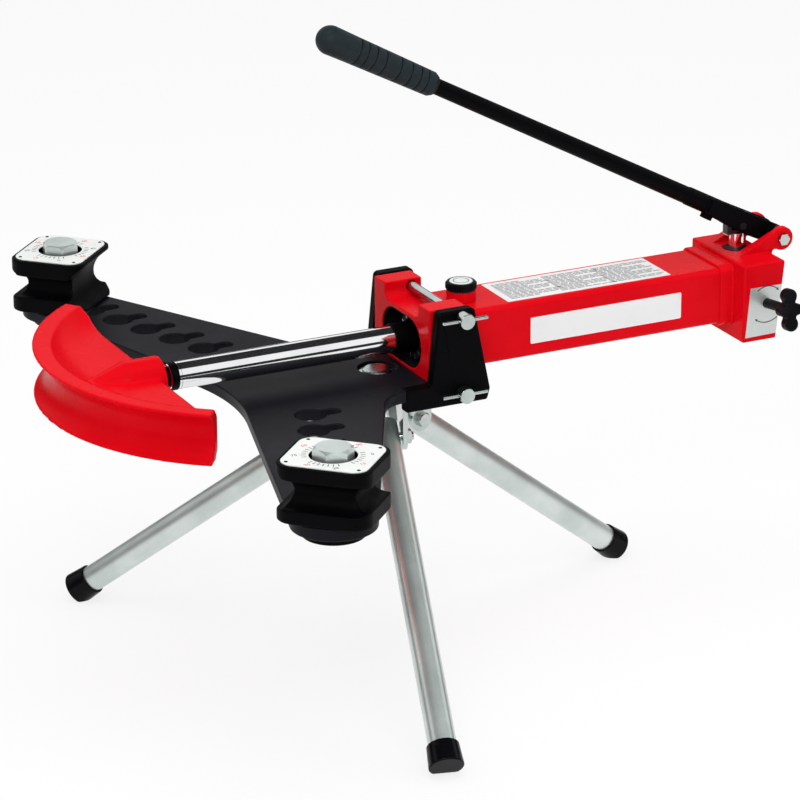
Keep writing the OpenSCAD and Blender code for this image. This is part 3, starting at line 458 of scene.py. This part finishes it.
def scale_about(mesh, middle, scale):
    """Scales a mesh about a point, by a factor for each axis."""
    mesh.transform(Matrix.Translation(middle) @ Matrix.Diagonal((*scale, 1)) @ Matrix.Translation(-middle))


def from_faces(points, faces):
    mesh = bpy.data.meshes.new("faces")
    mesh.from_pydata([tuple(p) for p in points], [], faces)
    work = bmesh.new()
    work.from_mesh(mesh)
    bmesh.ops.recalc_face_normals(work, faces=work.faces)
    work.to_mesh(mesh)
    work.free()
    return mesh


def looped(rings):
    """A closed skin through rings of equally many points, from the last back to the first."""
    count = len(rings[0])
    faces = [
        (k * count + i, k * count + (i + 1) % count, (k + 1) % len(rings) * count + (i + 1) % count,
         (k + 1) % len(rings) * count + i)
        for k in range(len(rings)) for i in range(count)
    ]
    return from_faces([p for ring in rings for p in ring], faces)


def turned(profile, place, steps=72):
    """A closed profile of (along, radius) points turned about the place's own Z axis."""
    angles = [2 * math.pi * i / steps for i in range(steps)]
    mesh = looped([[place @ Vector((r * math.cos(a), r * math.sin(a), z)) for z, r in profile] for a in angles])
    shade_by_angle(mesh, 40)
    return mesh


def rounded_outline(width, height, radius, steps=8):
    """Corner points of a rounded rectangle about the middle, anticlockwise."""
    points = []
    for sx, sy, start in ((1, 1, 0), (-1, 1, 90), (-1, -1, 180), (1, -1, 270)):
        for i in range(steps + 1):
            a = math.radians(start + 90 * i / steps)
            points.append((sx * (width / 2 - radius) + radius * math.cos(a),
                           sy * (height / 2 - radius) + radius * math.sin(a)))
    return points


def slab(outline, thickness, place):
    """A flat outline given thickness along the place's Z axis."""
    n = len(outline)
    points = [place @ Vector((x, y, z)) for z in (0, thickness) for x, y in outline]
    faces = [tuple(range(n))[::-1], tuple(range(n, 2 * n))]
    faces += [(k, (k + 1) % n, n + (k + 1) % n, n + k) for k in range(n)]
    return from_faces(points, faces)


def facing(origin, right, up):
    """A place whose X and Y axes run along right and up, and whose Z axis points outwards."""
    x = Vector(right).normalized()
    y = Vector(up).normalized()
    turn = Matrix((x, y, x.cross(y))).transposed().to_4x4()
    return Matrix.Translation(origin) @ turn


def joined(meshes):
    """Several meshes as one."""
    work = bmesh.new()
    for mesh in meshes:
        work.from_mesh(mesh)
    result = bpy.data.meshes.new("joined")
    work.to_mesh(result)
    work.free()
    return result


# Bars in a ring, made with Geometry Nodes: scale ticks, cap ribs and the steel bars of painted highlight on the ring
# nut. Then numbers


def bar_ring_tree():
    """Bars around the Z axis: Count, Radius, Start, Sweep and the bar's Size are its inputs."""
    tree = bpy.data.node_groups.new("bars in a ring", "GeometryNodeTree")
    ports = {}
    for name, kind in (("Count", "NodeSocketInt"), ("Radius", "NodeSocketFloat"), ("Start", "NodeSocketFloat"),
                       ("Sweep", "NodeSocketFloat"), ("Size", "NodeSocketVector"), ("Material", "NodeSocketMaterial")):
        ports[name] = tree.interface.new_socket(name, in_out="INPUT", socket_type=kind).identifier
    tree.interface.new_socket("Geometry", in_out="OUTPUT", socket_type="NodeSocketGeometry")
    entry = tree.nodes.new("NodeGroupInput")
    exit_ = tree.nodes.new("NodeGroupOutput")

    def node(kind, operation=None, **values):
        made = tree.nodes.new(kind)
        if operation:
            made.operation = operation
        for key, value in values.items():
            socket = made.inputs[int(key[1:]) if key[1:].isdigit() else key]
            if isinstance(value, bpy.types.NodeSocket):
                tree.links.new(value, socket)
            else:
                socket.default_value = value
        return made

    last = node("ShaderNodeMath", "SUBTRACT", _0=entry.outputs["Count"], _1=1.0).outputs[0]
    share = node("ShaderNodeMath", "DIVIDE", _0=node("GeometryNodeInputIndex").outputs[0], _1=last).outputs[0]
    swept = node("ShaderNodeMath", "MULTIPLY", _0=share, _1=entry.outputs["Sweep"]).outputs[0]
    angle = node("ShaderNodeMath", "ADD", _0=swept, _1=entry.outputs["Start"]).outputs[0]
    x = node("ShaderNodeMath", "COSINE", _0=angle).outputs[0]
    y = node("ShaderNodeMath", "SINE", _0=angle).outputs[0]
    ray = node("ShaderNodeCombineXYZ", X=x, Y=y).outputs[0]
    spot = node("ShaderNodeVectorMath", "SCALE", _0=ray, Scale=entry.outputs["Radius"]).outputs[0]
    turn = node("ShaderNodeCombineXYZ", Z=angle).outputs[0]
    points = node("GeometryNodePoints", Count=entry.outputs["Count"], Position=spot).outputs[0]
    bar = node("GeometryNodeMeshCube", Size=entry.outputs["Size"]).outputs[0]
    bars = node("GeometryNodeInstanceOnPoints", Points=points, Instance=bar, Rotation=turn).outputs[0]
    real = node("GeometryNodeRealizeInstances", Geometry=bars).outputs[0]
    done = node("GeometryNodeSetMaterial", Geometry=real, Material=entry.outputs["Material"]).outputs[0]
    tree.links.new(done, exit_.inputs[0])
    return tree, ports


BAR_RING = bar_ring_tree()


def bar_ring(place, count, radius, size, material, start=0.0, sweep=360.0):
    tree, ports = BAR_RING
    carrier = bpy.data.objects.new("bars", bpy.data.meshes.new("bars"))
    scene.collection.objects.link(carrier)
    modifier = carrier.modifiers.new("ring", "NODES")
    modifier.node_group = tree
    values = {"Count": count, "Radius": radius, "Start": math.radians(start), "Sweep": math.radians(sweep),
              "Size": size, "Material": material}
    for name, value in values.items():
        modifier[ports[name]] = value
    mesh = plain_mesh(carrier)
    mesh.transform(place)
    return mesh


def lettering(text, size, place, depth):
    """A plain number as a thin raised mesh."""
    curve = bpy.data.curves.new("number", "FONT")
    curve.body = text
    curve.size = size
    curve.extrude = depth / 2
    curve.align_x = "CENTER"
    curve.align_y = "CENTER"
    carrier = bpy.data.objects.new("number", curve)
    scene.collection.objects.link(carrier)
    mesh = plain_mesh(carrier)
    mesh.transform(place)
    return mesh


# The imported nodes: finishes for all, rounded copies where the real piece is cast or cut

for node, piece in NODES.items():
    piece.data.materials.clear()
    piece.data.materials.append(finish_of(node))

ROUNDED_MM = {
    "wing_plate": 1.4, "cheek_near": 2.2, "cheek_far": 2.2, "pin_collars": 1.5, "ram_head": 1.3, "pump_block": 2.0,
    "scale_plate_near": 0.3, "scale_plate_far": 0.3, "filler_neck": 0.8, "pump_plunger": 0.6, "cylinder_nut": 0.8,
    "tripod_hub": 0.6, "lock_pin_upper": 0.8, "lock_pin_lower": 0.8, "lock_bar_upper": 0.6, "lock_bar_lower": 0.6,
    "hub_bolt": 0.4, "foot_front": 1.2, "foot_rear": 1.2, "foot_far": 1.2, "link_pin": 0.5,
}
KNOB_ROUND_MM, KNOB_SCALE = 2.2, 0.86
FORMER_CELL_MM, FORMER_ROUNDS = 1.4, 7
CORNER_CELL_MM, CORNER_ROUNDS, CORNER_TURN = 0.9, 8, 45

for node, radius_mm in ROUNDED_MM.items():
    rounded_copy(node, radius_mm)
knob = rounded_copy("release_knob", KNOB_ROUND_MM)
scale_about(knob.data, middle_of("release_knob"), (KNOB_SCALE, KNOB_SCALE, KNOB_SCALE))
cast_copy("bending_former", FORMER_CELL_MM, FORMER_ROUNDS)
for node in ("corner_former_near", "corner_former_far"):
    cast_copy(node, CORNER_CELL_MM, CORNER_ROUNDS, turn=CORNER_TURN)


# Reservoir: a collar and weld beads at its ends, the side plate and the top label

tank_low, tank_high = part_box("reservoir")
TANK_MIDDLE = middle_of("reservoir")
TANK_W = tank_high.y - tank_low.y
TANK_H = tank_high.z - tank_low.z
TANK_R = 6 * MM
SKIN = 0.3 * MM
PRINT = SKIN / 2
PUMP_END, PUMP_WELD_R = tank_high.x - 0.5 * MM, 2.6 * MM
HEAD_END, HEAD_WELD_R = tank_low.x + 1.0 * MM, 2.2 * MM
WELD_SEAT, WELD_SIDES, WELD_STEP = 0.3, 10, 1.3 * MM
WELD_RIPPLE, STEPS_PER_RIPPLE = 0.25 * MM, 3.4
COLLAR_START, COLLAR_PROUD, COLLAR_SOFT = tank_high.x - 15 * MM, 2.4 * MM, 1.6 * MM


def weld_bead(name, x, radius):
    """A rippled bead around the tank's outline at x."""
    seat = WELD_SEAT * radius
    path = rounded_outline(TANK_W + 2 * seat, TANK_H + 2 * seat, TANK_R + seat, steps=10)
    dense = []
    for (x0, y0), (x1, y1) in zip(path, path[1:] + path[:1]):
        pieces = max(1, round(math.hypot(x1 - x0, y1 - y0) / WELD_STEP))
        dense += [(x0 + (x1 - x0) * k / pieces, y0 + (y1 - y0) * k / pieces) for k in range(pieces)]
    turns = [2 * math.pi * k / WELD_SIDES for k in range(WELD_SIDES)]
    rings = []
    for i, (y, z) in enumerate(dense):
        ahead, behind = dense[(i + 1) % len(dense)], dense[i - 1]
        along = Vector((0, ahead[0] - behind[0], ahead[1] - behind[1])).normalized()
        out = along.cross(Vector((1, 0, 0)))
        middle = Vector((x, TANK_MIDDLE.y + y, TANK_MIDDLE.z + z))
        r = radius + WELD_RIPPLE * math.sin(i * 2 * math.pi / STEPS_PER_RIPPLE)
        rings.append([middle + r * math.cos(b) * out + Vector((r * math.sin(b), 0, 0)) for b in turns])
    mesh = looped(rings)
    shade_by_angle(mesh, 60)
    return new_piece(name, mesh, RED, "frame")


def tank_collar():
    """A welded collar with soft edges around the tank's end at the pump block."""
    start, proud, soft = COLLAR_START, COLLAR_PROUD, COLLAR_SOFT
    section = [(start, -soft), (start, proud - soft)]
    steps = 4
    for i in range(steps + 1):
        a = math.radians(90 * i / steps)
        section.append((start + soft - soft * math.cos(a), proud - soft + soft * math.sin(a)))
    section += [(PUMP_END, proud), (PUMP_END, -soft)]
    rings = []
    for x, out in section:
        outline = rounded_outline(TANK_W + 2 * out, TANK_H + 2 * out, TANK_R + out)
        rings.append([(x, TANK_MIDDLE.y + y, TANK_MIDDLE.z + z) for y, z in outline])
    mesh = looped(rings)
    shade_by_angle(mesh, 50)
    return new_piece("tank_collar", mesh, RED, "frame")


tank_collar()
weld_bead("weld_at_pump", PUMP_END, PUMP_WELD_R)
weld_bead("weld_at_head", HEAD_END, HEAD_WELD_R)

LABEL_CORNER = 1.5 * MM
SIDE_START, SIDE_END, SIDE_H, SIDE_DROP = 148.5 * MM, 317.5 * MM, 27 * MM, 1.5 * MM
TOP_START, TOP_END, TOP_EDGE = 128 * MM, 310 * MM, 8 * MM
TEXT_W, TEXT_H, TEXT_ROWS, TEXT_COLUMNS = 168 * MM, 48 * MM, 13, 3
WORD_MIN, WORD_SPREAD, WORD_GAP = 3.5 * MM, 6 * MM, 1.3 * MM
FULL_LINE, SHORT_LINE, SHORT_EVERY = 0.94, 0.5, 4


def label_card(name, width, height, place):
    card = slab(rounded_outline(width, height, LABEL_CORNER), SKIN, place)
    return new_piece(name, card, FILM, "frame")


def blank_text(place, width, height, rows, columns):
    """Rows of short strokes of word length, as blank text on a label."""
    strokes = []
    pitch = height / rows
    column_w = width / columns
    lift = place @ Matrix.Translation((0, 0, SKIN))
    for column in range(columns):
        for row in range(rows):
            x = -width / 2 + column * column_w
            end = x + column_w * (FULL_LINE if (row + column) % SHORT_EVERY else SHORT_LINE)
            low = height / 2 - (row + 0.8) * pitch
            high = low + pitch * 0.5
            word = row * 7 + column * 5
            while x < end:
                length = WORD_MIN + WORD_SPREAD * abs(math.sin(word * 1.7))
                outline = [(x, low), (x + length, low), (x + length, high), (x, high)]
                strokes.append(slab(outline, PRINT, lift))
                x += length + WORD_GAP
                word += 1
    return joined(strokes)


side_spot = (HUB_X + (SIDE_START + SIDE_END) / 2, tank_low.y, TANK_MIDDLE.z - SIDE_DROP)
label_card("side_label", SIDE_END - SIDE_START, SIDE_H, facing(side_spot, (1, 0, 0), (0, 0, 1)))
top_place = facing((HUB_X + (TOP_START + TOP_END) / 2, 0, tank_high.z), (1, 0, 0), (0, 1, 0))
label_card("top_label", TOP_END - TOP_START, TANK_W - 2 * TOP_EDGE, top_place)
top_lines = blank_text(top_place, TEXT_W, TEXT_H, TEXT_ROWS, TEXT_COLUMNS)
new_piece("top_label_lines", top_lines, GREY_INK, "frame")


# Lever: painted shade in the grooves of the grip, a tube that widens towards the slim socket, and the bolt seated on
# it

PIVOT = middle_of("pivot_bolt")
PIVOT.y = 0
LEVER_RISE = math.radians(28.2)
LEVER_RUN = Vector((-math.cos(LEVER_RISE), 0, math.sin(LEVER_RISE)))
GROOVE_DEPTH, GROOVE_W = 0.9 * MM, 1.6 * MM
CLAMP_WIDTHS = [(0, 0.84), (110, 0.84)]
YOKE_WIDTHS = [(0, 1), (40, 1), (64, 0.89), (110, 0.89)]
TUBE_WIDTHS = [(66, 1.1), (430, 0.96)]
YOKE_CELL_MM, YOKE_ROUNDS = 0.7, 8


def drawn(node, widths):
    """A lever piece scaled across the lever, by widths of (mm from the pivot, scale)."""
    mesh = merged_copy(node)
    for vertex in mesh.vertices:
        along = (vertex.co - PIVOT).dot(LEVER_RUN)
        scale = widths[-1][1]
        for (a0, s0), (a1, s1) in zip(widths, widths[1:]):
            if along / MM < a1:
                scale = s0 + (s1 - s0) * max(0, along / MM - a0) / (a1 - a0)
                break
        middle = PIVOT + LEVER_RUN * along
        vertex.co = middle + (vertex.co - middle) * scale
    return mesh


def marked_grip():
    """The grip with its grooves marked, so that the rubber can carry painted shade there."""
    mesh = merged_copy("lever_grip")
    reach = [(v.co - PIVOT).dot(LEVER_RUN) for v in mesh.vertices]
    radius = [(v.co - PIVOT - LEVER_RUN * a).length for v, a in zip(mesh.vertices, reach)]
    dome_start = max(reach) - max(radius) + GROOVE_DEPTH / 2
    groove = mesh.attributes.new("groove", "FLOAT", "POINT")
    for i, (a, r) in enumerate(zip(reach, radius)):
        near = max(radius[k] for k in range(len(reach)) if abs(reach[k] - a) < GROOVE_W)
        groove.data[i].value = 1.0 if near - r > GROOVE_DEPTH * 0.6 and a < dome_start else 0.0
    shade_by_angle(mesh, 50)
    return stand_for("lever_grip", mesh, "lever_grip_marked")


def drawn_piece(node, widths, name):
    mesh = drawn(node, widths)
    shade_by_angle(mesh)
    return stand_for(node, mesh, name)


marked_grip()
drawn_piece("clamp_bolt", CLAMP_WIDTHS, "clamp_bolt_seated")
cast_copy("lever_yoke", YOKE_CELL_MM, YOKE_ROUNDS, mesh=drawn("lever_yoke", YOKE_WIDTHS))
drawn_piece("lever_tube", TUBE_WIDTHS, "lever_tube_drawn")


# Filler cap: slimmer, with a ribbed edge, a pale disc and a ring

cap_low, cap_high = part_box("filler_cap")
CAP_MIDDLE = middle_of("filler_cap")
CAP_SLIM = 0.91
CAP_R = (cap_high.x - cap_low.x) / 2 * CAP_SLIM
RIB_COUNT, RIB_SWEEP, RIB_DROP = 45, 352, 4.2 * MM
RIB_SIZE = (1.0 * MM, 1.1 * MM, 4.6 * MM)
DISC_R = CAP_R * 0.76
DISC_H, DISC_EDGE = 0.35 * MM, 0.2 * MM
RING_LOW, RING_HIGH = 0.3 * MM, 0.5 * MM
cap_top = Matrix.Translation((CAP_MIDDLE.x, CAP_MIDDLE.y, cap_high.z))


def slim_cap():
    mesh = merged_copy("filler_cap")
    scale_about(mesh, CAP_MIDDLE, (CAP_SLIM, CAP_SLIM, 1))
    shade_by_angle(mesh)
    return stand_for("filler_cap", mesh, "filler_cap_slim")


slim_cap()
rib_place = cap_top @ Matrix.Translation((0, 0, -RIB_DROP))
ribs = bar_ring(rib_place, RIB_COUNT, CAP_R, RIB_SIZE, PLASTIC, sweep=RIB_SWEEP)
new_piece("cap_ribs", ribs, PLASTIC, "cap")
disc = [(0, DISC_EDGE), (0, DISC_R), (DISC_H, DISC_R - DISC_EDGE), (DISC_H, DISC_EDGE)]
new_piece("cap_disc", turned(disc, cap_top), PLATE, "cap")
ring = [(RING_LOW, DISC_R * 0.6), (RING_LOW, DISC_R * 0.72), (RING_HIGH, DISC_R * 0.71), (RING_HIGH, DISC_R * 0.61)]
new_piece("cap_ring", turned(ring, cap_top), GREY_INK, "cap")


# Ram: dark rings on the chromed rod behind the former, and the spring inside

rod_low, rod_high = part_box("ram_rod")
ROD_R = (rod_high.z - rod_low.z) / 2
RAM_Z = (rod_low.z + rod_high.z) / 2
RING_SUNK = 0.6 * MM
rod_axis = facing((rod_low.x, 0, RAM_Z), (0, 1, 0), (0, 0, 1))


def rod_ring(name, start, end, proud):
    """A dark ring on the rod, from start to end behind its front."""
    inner = ROD_R - RING_SUNK
    outer = ROD_R + proud
    edge = min(0.5 * MM, (end - start) / 3)
    profile = [(start, inner), (start, outer - edge), (start + edge, outer), (end - edge, outer),
               (end, outer - edge), (end, inner)]
    return new_piece(name, turned(profile, rod_axis), CAST, "ram")


def stretched_spring():
    """A smooth-shaded copy of the return spring, which stands in its place."""
    mesh = merged_copy("return_spring")
    shade_by_angle(mesh, 50)
    mesh.materials.clear()
    mesh.materials.append(finish_of("return_spring"))
    spring = bpy.data.objects.new("return_spring_stretched", mesh)
    scene.collection.objects.link(spring)
    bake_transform(spring)
    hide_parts("return_spring")


rod_ring("rod_stop_ring", 0.4 * MM, 8.6 * MM, 0.25 * MM)
rod_ring("rod_band", 10.4 * MM, 11.2 * MM, 0.05 * MM)
stretched_spring()


# Head: painted shade in the pocket around the ram, the sleeve in it, and steel bars of painted highlight on its ring
# nut

head_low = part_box("ram_head")[0]
nut_low, nut_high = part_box("cylinder_nut")
POCKET_W, POCKET_H, POCKET_R = 83.9 * MM, 49.9 * MM, 24.8 * MM
# Painted shade in the pocket: the thickness of its black skin, the lip it stands back from the face, and its
# clearances.
POCKET_SHADE_SKIN, POCKET_LIP, FLOOR_CLEAR, NUT_CLEAR = 0.5 * MM, 0.8 * MM, 0.05 * MM, 0.1 * MM
SLEEVE_PROUD, SLEEVE_WALL, SLEEVE_CLEAR, SLEEVE_EDGE = 12 * MM, 1.5 * MM, 0.3 * MM, 0.6 * MM
# Painted highlights on the ring nut: the count, radius, sweep and size of its steel bars.
NUT_HIGHLIGHT_COUNT, NUT_HIGHLIGHT_R, NUT_HIGHLIGHT_SWEEP = 13, 20.5 * MM, 332
NUT_HIGHLIGHT_SIZE = (5 * MM, 1.6 * MM, 0.3 * MM)


def painted_pocket_shade():
    """A thin black skin of painted shade in the head's oval pocket: on its wall, and on its floor around the ring nut.
    """
    # Painted shade: a black skin lines the pocket so that it reads as dark.
    front, floor, coat = head_low.x + POCKET_LIP, nut_high.x - FLOOR_CLEAR, POCKET_SHADE_SKIN
    hole = (nut_high.z - nut_low.z) / 2 + NUT_CLEAR
    wide = rounded_outline(POCKET_W, POCKET_H, POCKET_R)
    slim = rounded_outline(POCKET_W - 2 * coat, POCKET_H - 2 * coat, POCKET_R - coat)
    nut = [(y * hole / math.hypot(y, z), z * hole / math.hypot(y, z)) for y, z in slim]
    rings = [(front, slim), (floor - coat, slim), (floor - coat, nut), (floor, nut), (floor, wide), (front, wide)]
    mesh = looped([[(x, y, RAM_Z + z) for y, z in ring] for x, ring in rings])
    shade_by_angle(mesh, 40)
    return new_piece("painted_pocket_shade", mesh, BLACK, "frame")


def gland_sleeve():
    """The black sleeve that stands out of the ring nut around the ram."""
    depth = nut_low.x - head_low.x + SLEEVE_PROUD
    inner = ROD_R + SLEEVE_CLEAR
    outer = inner + SLEEVE_WALL
    profile = [(0, inner), (0, outer), (depth - SLEEVE_EDGE, outer), (depth, outer - SLEEVE_EDGE), (depth, inner)]
    place = facing((nut_low.x, 0, RAM_Z), (0, 0, 1), (0, 1, 0))
    return new_piece("gland_sleeve", turned(profile, place), CAST, "frame")


painted_pocket_shade()
gland_sleeve()
# Painted highlights: bare steel bars on the ring nut's front rim stand in for glints on its notches.
nut_face = facing((nut_low.x, 0, RAM_Z), (0, 1, 0), (0, 0, 1))
highlight_bars = bar_ring(nut_face, NUT_HIGHLIGHT_COUNT, NUT_HIGHLIGHT_R, NUT_HIGHLIGHT_SIZE, STEEL, sweep=NUT_HIGHLIGHT_SWEEP)
new_piece("nut_highlight_bars", highlight_bars, STEEL, "frame")


# Pump block: the valve plate with two curved arrows

VALVE_PLATE_MM = [(384.5, 39), (420.5, 38.5), (414.8, -12), (379.5, -12.6)]
VALVE_RISE = 21 * MM
ARROW_W, ARROW_HEAD, ARROW_BARB = 0.9 * MM, 2.6 * MM, 0.55
UPPER_ARROW = {"radius": 18 * MM, "start": 128, "end": 50}
LOWER_ARROW = {"radius": 20 * MM, "start": 308, "end": 236}
near_face = facing((HUB_X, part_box("pump_block")[0].y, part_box("wing_plate")[1].z), (1, 0, 0), (0, 0, 1))


def arrow_outline(radius, start, end):
    """A curved band that runs clockwise from start to end in degrees, with a pointed head at its end."""
    steps = 20
    angles = [math.radians(start + (end - start) * i / steps) for i in range(steps + 1)]

    def at(a, r):
        return (math.cos(a) * r, math.sin(a) * r)

    inner = [at(a, radius - ARROW_W / 2) for a in angles]
    outer = [at(a, radius + ARROW_W / 2) for a in angles]
    tip = at(angles[-1] - ARROW_HEAD / radius, radius)
    barbs = [at(angles[-1], radius - side * ARROW_HEAD * ARROW_BARB) for side in (1, -1)]
    return inner + [barbs[0], tip, barbs[1]] + outer[::-1]


plate_outline = [(x * MM, z * MM) for x, z in reversed(VALVE_PLATE_MM)]
new_piece("valve_plate", slab(plate_outline, SKIN, near_face), SILVER, "frame")
valve_marks = near_face @ Matrix.Translation((middle_of("release_spindle").x - HUB_X, VALVE_RISE, SKIN))
arrows = [slab(arrow_outline(**arrow), PRINT, valve_marks) for arrow in (UPPER_ARROW, LOWER_ARROW)]
new_piece("valve_arrows", joined(arrows), BLACK_INK, "frame")


# Scale plates: a ring of ticks, plain numbers and screw heads on each

SCALE_TURN = 45
TICK_COUNT, TICK_R, TICK_SWEEP = 7, 26.5 * MM, 60
TICK_SIZE = (4.6 * MM, 0.9 * MM, 0.1 * MM)
NUMBERS = ("45", "60", "75", "90", "30", "15", "0", "90")
NUMBER_START, NUMBER_SIZE, NUMBER_DEPTH = 22, 6.0 * MM, 0.12 * MM
NUMBER_X, NUMBER_Y = 33 * MM, 35 * MM
SCREW_X, SCREW_Y = 29 * MM, 34 * MM
SCREW_PROFILE_MM = [(0, 0.4), (0, 1.8), (0.3, 1.5), (0.4, 0.8), (0.1, 0.4)]


def dress_scale(side, node, body):
    """Marks and screws on one plate. Side turns them with the plate, and the numbers stay upright."""
    middle = middle_of(node)
    turn = Matrix.Rotation(math.radians(-SCALE_TURN * side), 4, "Z")
    top = Matrix.Translation((middle.x, middle.y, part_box(node)[1].z)) @ turn
    ticks = [bar_ring(top, TICK_COUNT, TICK_R, TICK_SIZE, BLACK_INK, start=a - TICK_SWEEP / 2, sweep=TICK_SWEEP)
             for a in (0, 90, 180, 270)]
    new_piece(node + "_ticks", joined(ticks), BLACK_INK, body)
    numbers = {"red": [], "black": []}
    for i, text in enumerate(NUMBERS):
        a = math.radians(NUMBER_START + 360 / len(NUMBERS) * i)
        spot = top @ Matrix.Translation((NUMBER_X * math.cos(a), NUMBER_Y * math.sin(a), 0)) @ turn.inverted()
        numbers["red" if i % 2 else "black"].append(lettering(text, NUMBER_SIZE, spot, NUMBER_DEPTH))
    new_piece(node + "_numbers_red", joined(numbers["red"]), RED_INK, body)
    new_piece(node + "_numbers_black", joined(numbers["black"]), BLACK_INK, body)
    profile = [(z * MM, r * MM) for z, r in SCREW_PROFILE_MM]
    screws = [turned(profile, top @ Matrix.Translation((x * SCREW_X, y * SCREW_Y, 0)), steps=20)
              for x, y in ((1, 1), (-1, 1), (-1, -1), (1, -1))]
    new_piece(node + "_screws", joined(screws), PLASTIC, body)


dress_scale(-1, "scale_plate_near", "near_corner")
dress_scale(1, "scale_plate_far", "far_corner")


# Stage, lights and camera

FLOOR_HALF = 9
FLOOR_GLOW = 0.8
WALL_R, WALL_LOW, WALL_HIGH, WALL_STEPS = 2.6, 0.1, 1.0, 48
CEILING_Z = 2.4
CEILING = ((-3, -1), (3, -1), (3, 2.2), (-3, 2.2))
DOME_FROM, DOME_TO, DOME_LOW, DOME_HIGH = 0.02, 0.75, 0.34, 0.70
LAMP_AIM = Vector((0, 0, 0.25))
LAMPS = (("overhead", (-0.2, -0.2, 2.8), 2.4, 32), ("key", (-1.5, -2.1, 2.2), 0.9, 20),
         ("side", (2.2, -1.4, 1.6), 1.2, 8))
CAMERA_TURN = (-26.18, 20.45, -0.26)
CAMERA_SPOT = (HUB_X - 1.6687, -3.4434, 1.6789)
CAMERA_LENS, CAMERA_SENSOR = 188.52, 36


def staged(name, mesh, material):
    """A stage object, which isn't part of the pipe bender."""
    mesh.materials.append(material)
    prop = bpy.data.objects.new(name, mesh)
    scene.collection.objects.link(prop)
    return prop


def seen_directly(nodes):
    """One where a surface is seen straight, in a mirror or through glass, and nought where it only gives light."""
    seen = nodes.make("ShaderNodeLightPath", output="Is Camera Ray")
    for ray in ("Is Glossy Ray", "Is Transmission Ray"):
        seen = nodes.make("ShaderNodeMath", settings={"operation": "MAXIMUM"}, _0=seen,
                          _1=nodes.make("ShaderNodeLightPath", output=ray))
    return seen


def pale_floor():
    """A floor that keeps the shadow and looks white."""
    h = FLOOR_HALF
    f = Finish("pale floor", roughness=0.9, specular_ior_level=0.1, base_color=rgb(0.95, 0.95, 0.95))
    glow = f.make("ShaderNodeEmission", Strength=1.0)
    lit = Wire(f.tree, f.shader.outputs[0])
    mixed = f.make("ShaderNodeMixShader", _0=seen_directly(f) * FLOOR_GLOW, _1=lit, _2=glow)
    f.tree.links.new(mixed.socket, f.tree.nodes["Material Output"].inputs["Surface"])
    staged("floor", from_faces([(-h, -h, 0), (h, -h, 0), (h, h, 0), (-h, h, 0)], [(0, 1, 2, 3)]), f.material)


def dark_flags():
    """Dark cloth around and above the object, which only shows as dark streaks in shiny surfaces."""
    n = WALL_STEPS
    angles = [2 * math.pi * i / n for i in range(n)]
    wall = from_faces([(WALL_R * math.cos(a), WALL_R * math.sin(a), z) for z in (WALL_LOW, WALL_HIGH) for a in angles],
                      [(i, (i + 1) % n, n + (i + 1) % n, n + i) for i in range(n)])
    ceiling = from_faces([(x, y, CEILING_Z) for x, y in CEILING], [(0, 1, 2, 3)])
    cloth = Finish("dark cloth", roughness=1.0, base_color=rgb(0.02, 0.02, 0.02)).material
    for flag in (staged("dark wall", wall, cloth), staged("dark ceiling", ceiling, cloth)):
        flag.visible_camera = flag.visible_diffuse = flag.visible_shadow = flag.visible_transmission = False


def white_world():
    """White where it is seen, and a soft dome of light that is stronger from above."""
    world = bpy.data.worlds.new("studio")
    scene.world = world
    world.use_nodes = True
    w = Nodes(world.node_tree)
    height = w.make("ShaderNodeSeparateXYZ", output=2, Vector=w.make("ShaderNodeTexCoord", output="Generated"))
    dome = w.between(height, DOME_FROM, DOME_TO, DOME_LOW, DOME_HIGH)
    seen = seen_directly(w)
    background = w.tree.nodes["Background"]
    connect(w.tree, background.inputs["Strength"], seen + (1 - seen) * dome)
    connect(w.tree, background.inputs["Color"], rgb(1, 1, 1))


def studio_lamps():
    for name, spot, size, watts in LAMPS:
        lamp = bpy.data.lights.new(name, "AREA")
        lamp.size = size
        lamp.energy = watts
        holder = bpy.data.objects.new(name, lamp)
        holder.location = spot
        holder.visible_glossy = name == "key"
        holder.rotation_euler = (LAMP_AIM - Vector(spot)).to_track_quat("-Z", "Y").to_euler()
        scene.collection.objects.link(holder)


def photo_camera():
    """The camera of the photograph, from its fitted azimuth, elevation, roll and focal length."""
    azimuth, elevation, roll = (math.radians(v) for v in CAMERA_TURN)
    level = math.cos(elevation)
    back = Vector((math.sin(azimuth) * level, -math.cos(azimuth) * level, math.sin(elevation)))
    right = Vector((math.cos(azimuth), math.sin(azimuth), 0))
    up = back.cross(right)
    rolled_right = right * math.cos(roll) + up * math.sin(roll)
    rolled_up = up * math.cos(roll) - right * math.sin(roll)
    turn = Matrix((rolled_right, rolled_up, back)).transposed().to_4x4()
    data = bpy.data.cameras.new("photo camera")
    data.sensor_width = CAMERA_SENSOR
    data.lens = CAMERA_LENS
    data.clip_end = 50
    camera = bpy.data.objects.new("photo camera", data)
    camera.matrix_world = Matrix.Translation(CAMERA_SPOT) @ turn
    scene.collection.objects.link(camera)
    scene.camera = camera


pale_floor()
dark_flags()
white_world()
studio_lamps()
photo_camera()
scene.view_settings.view_transform = "Standard"

bpy.context.view_layer.update()
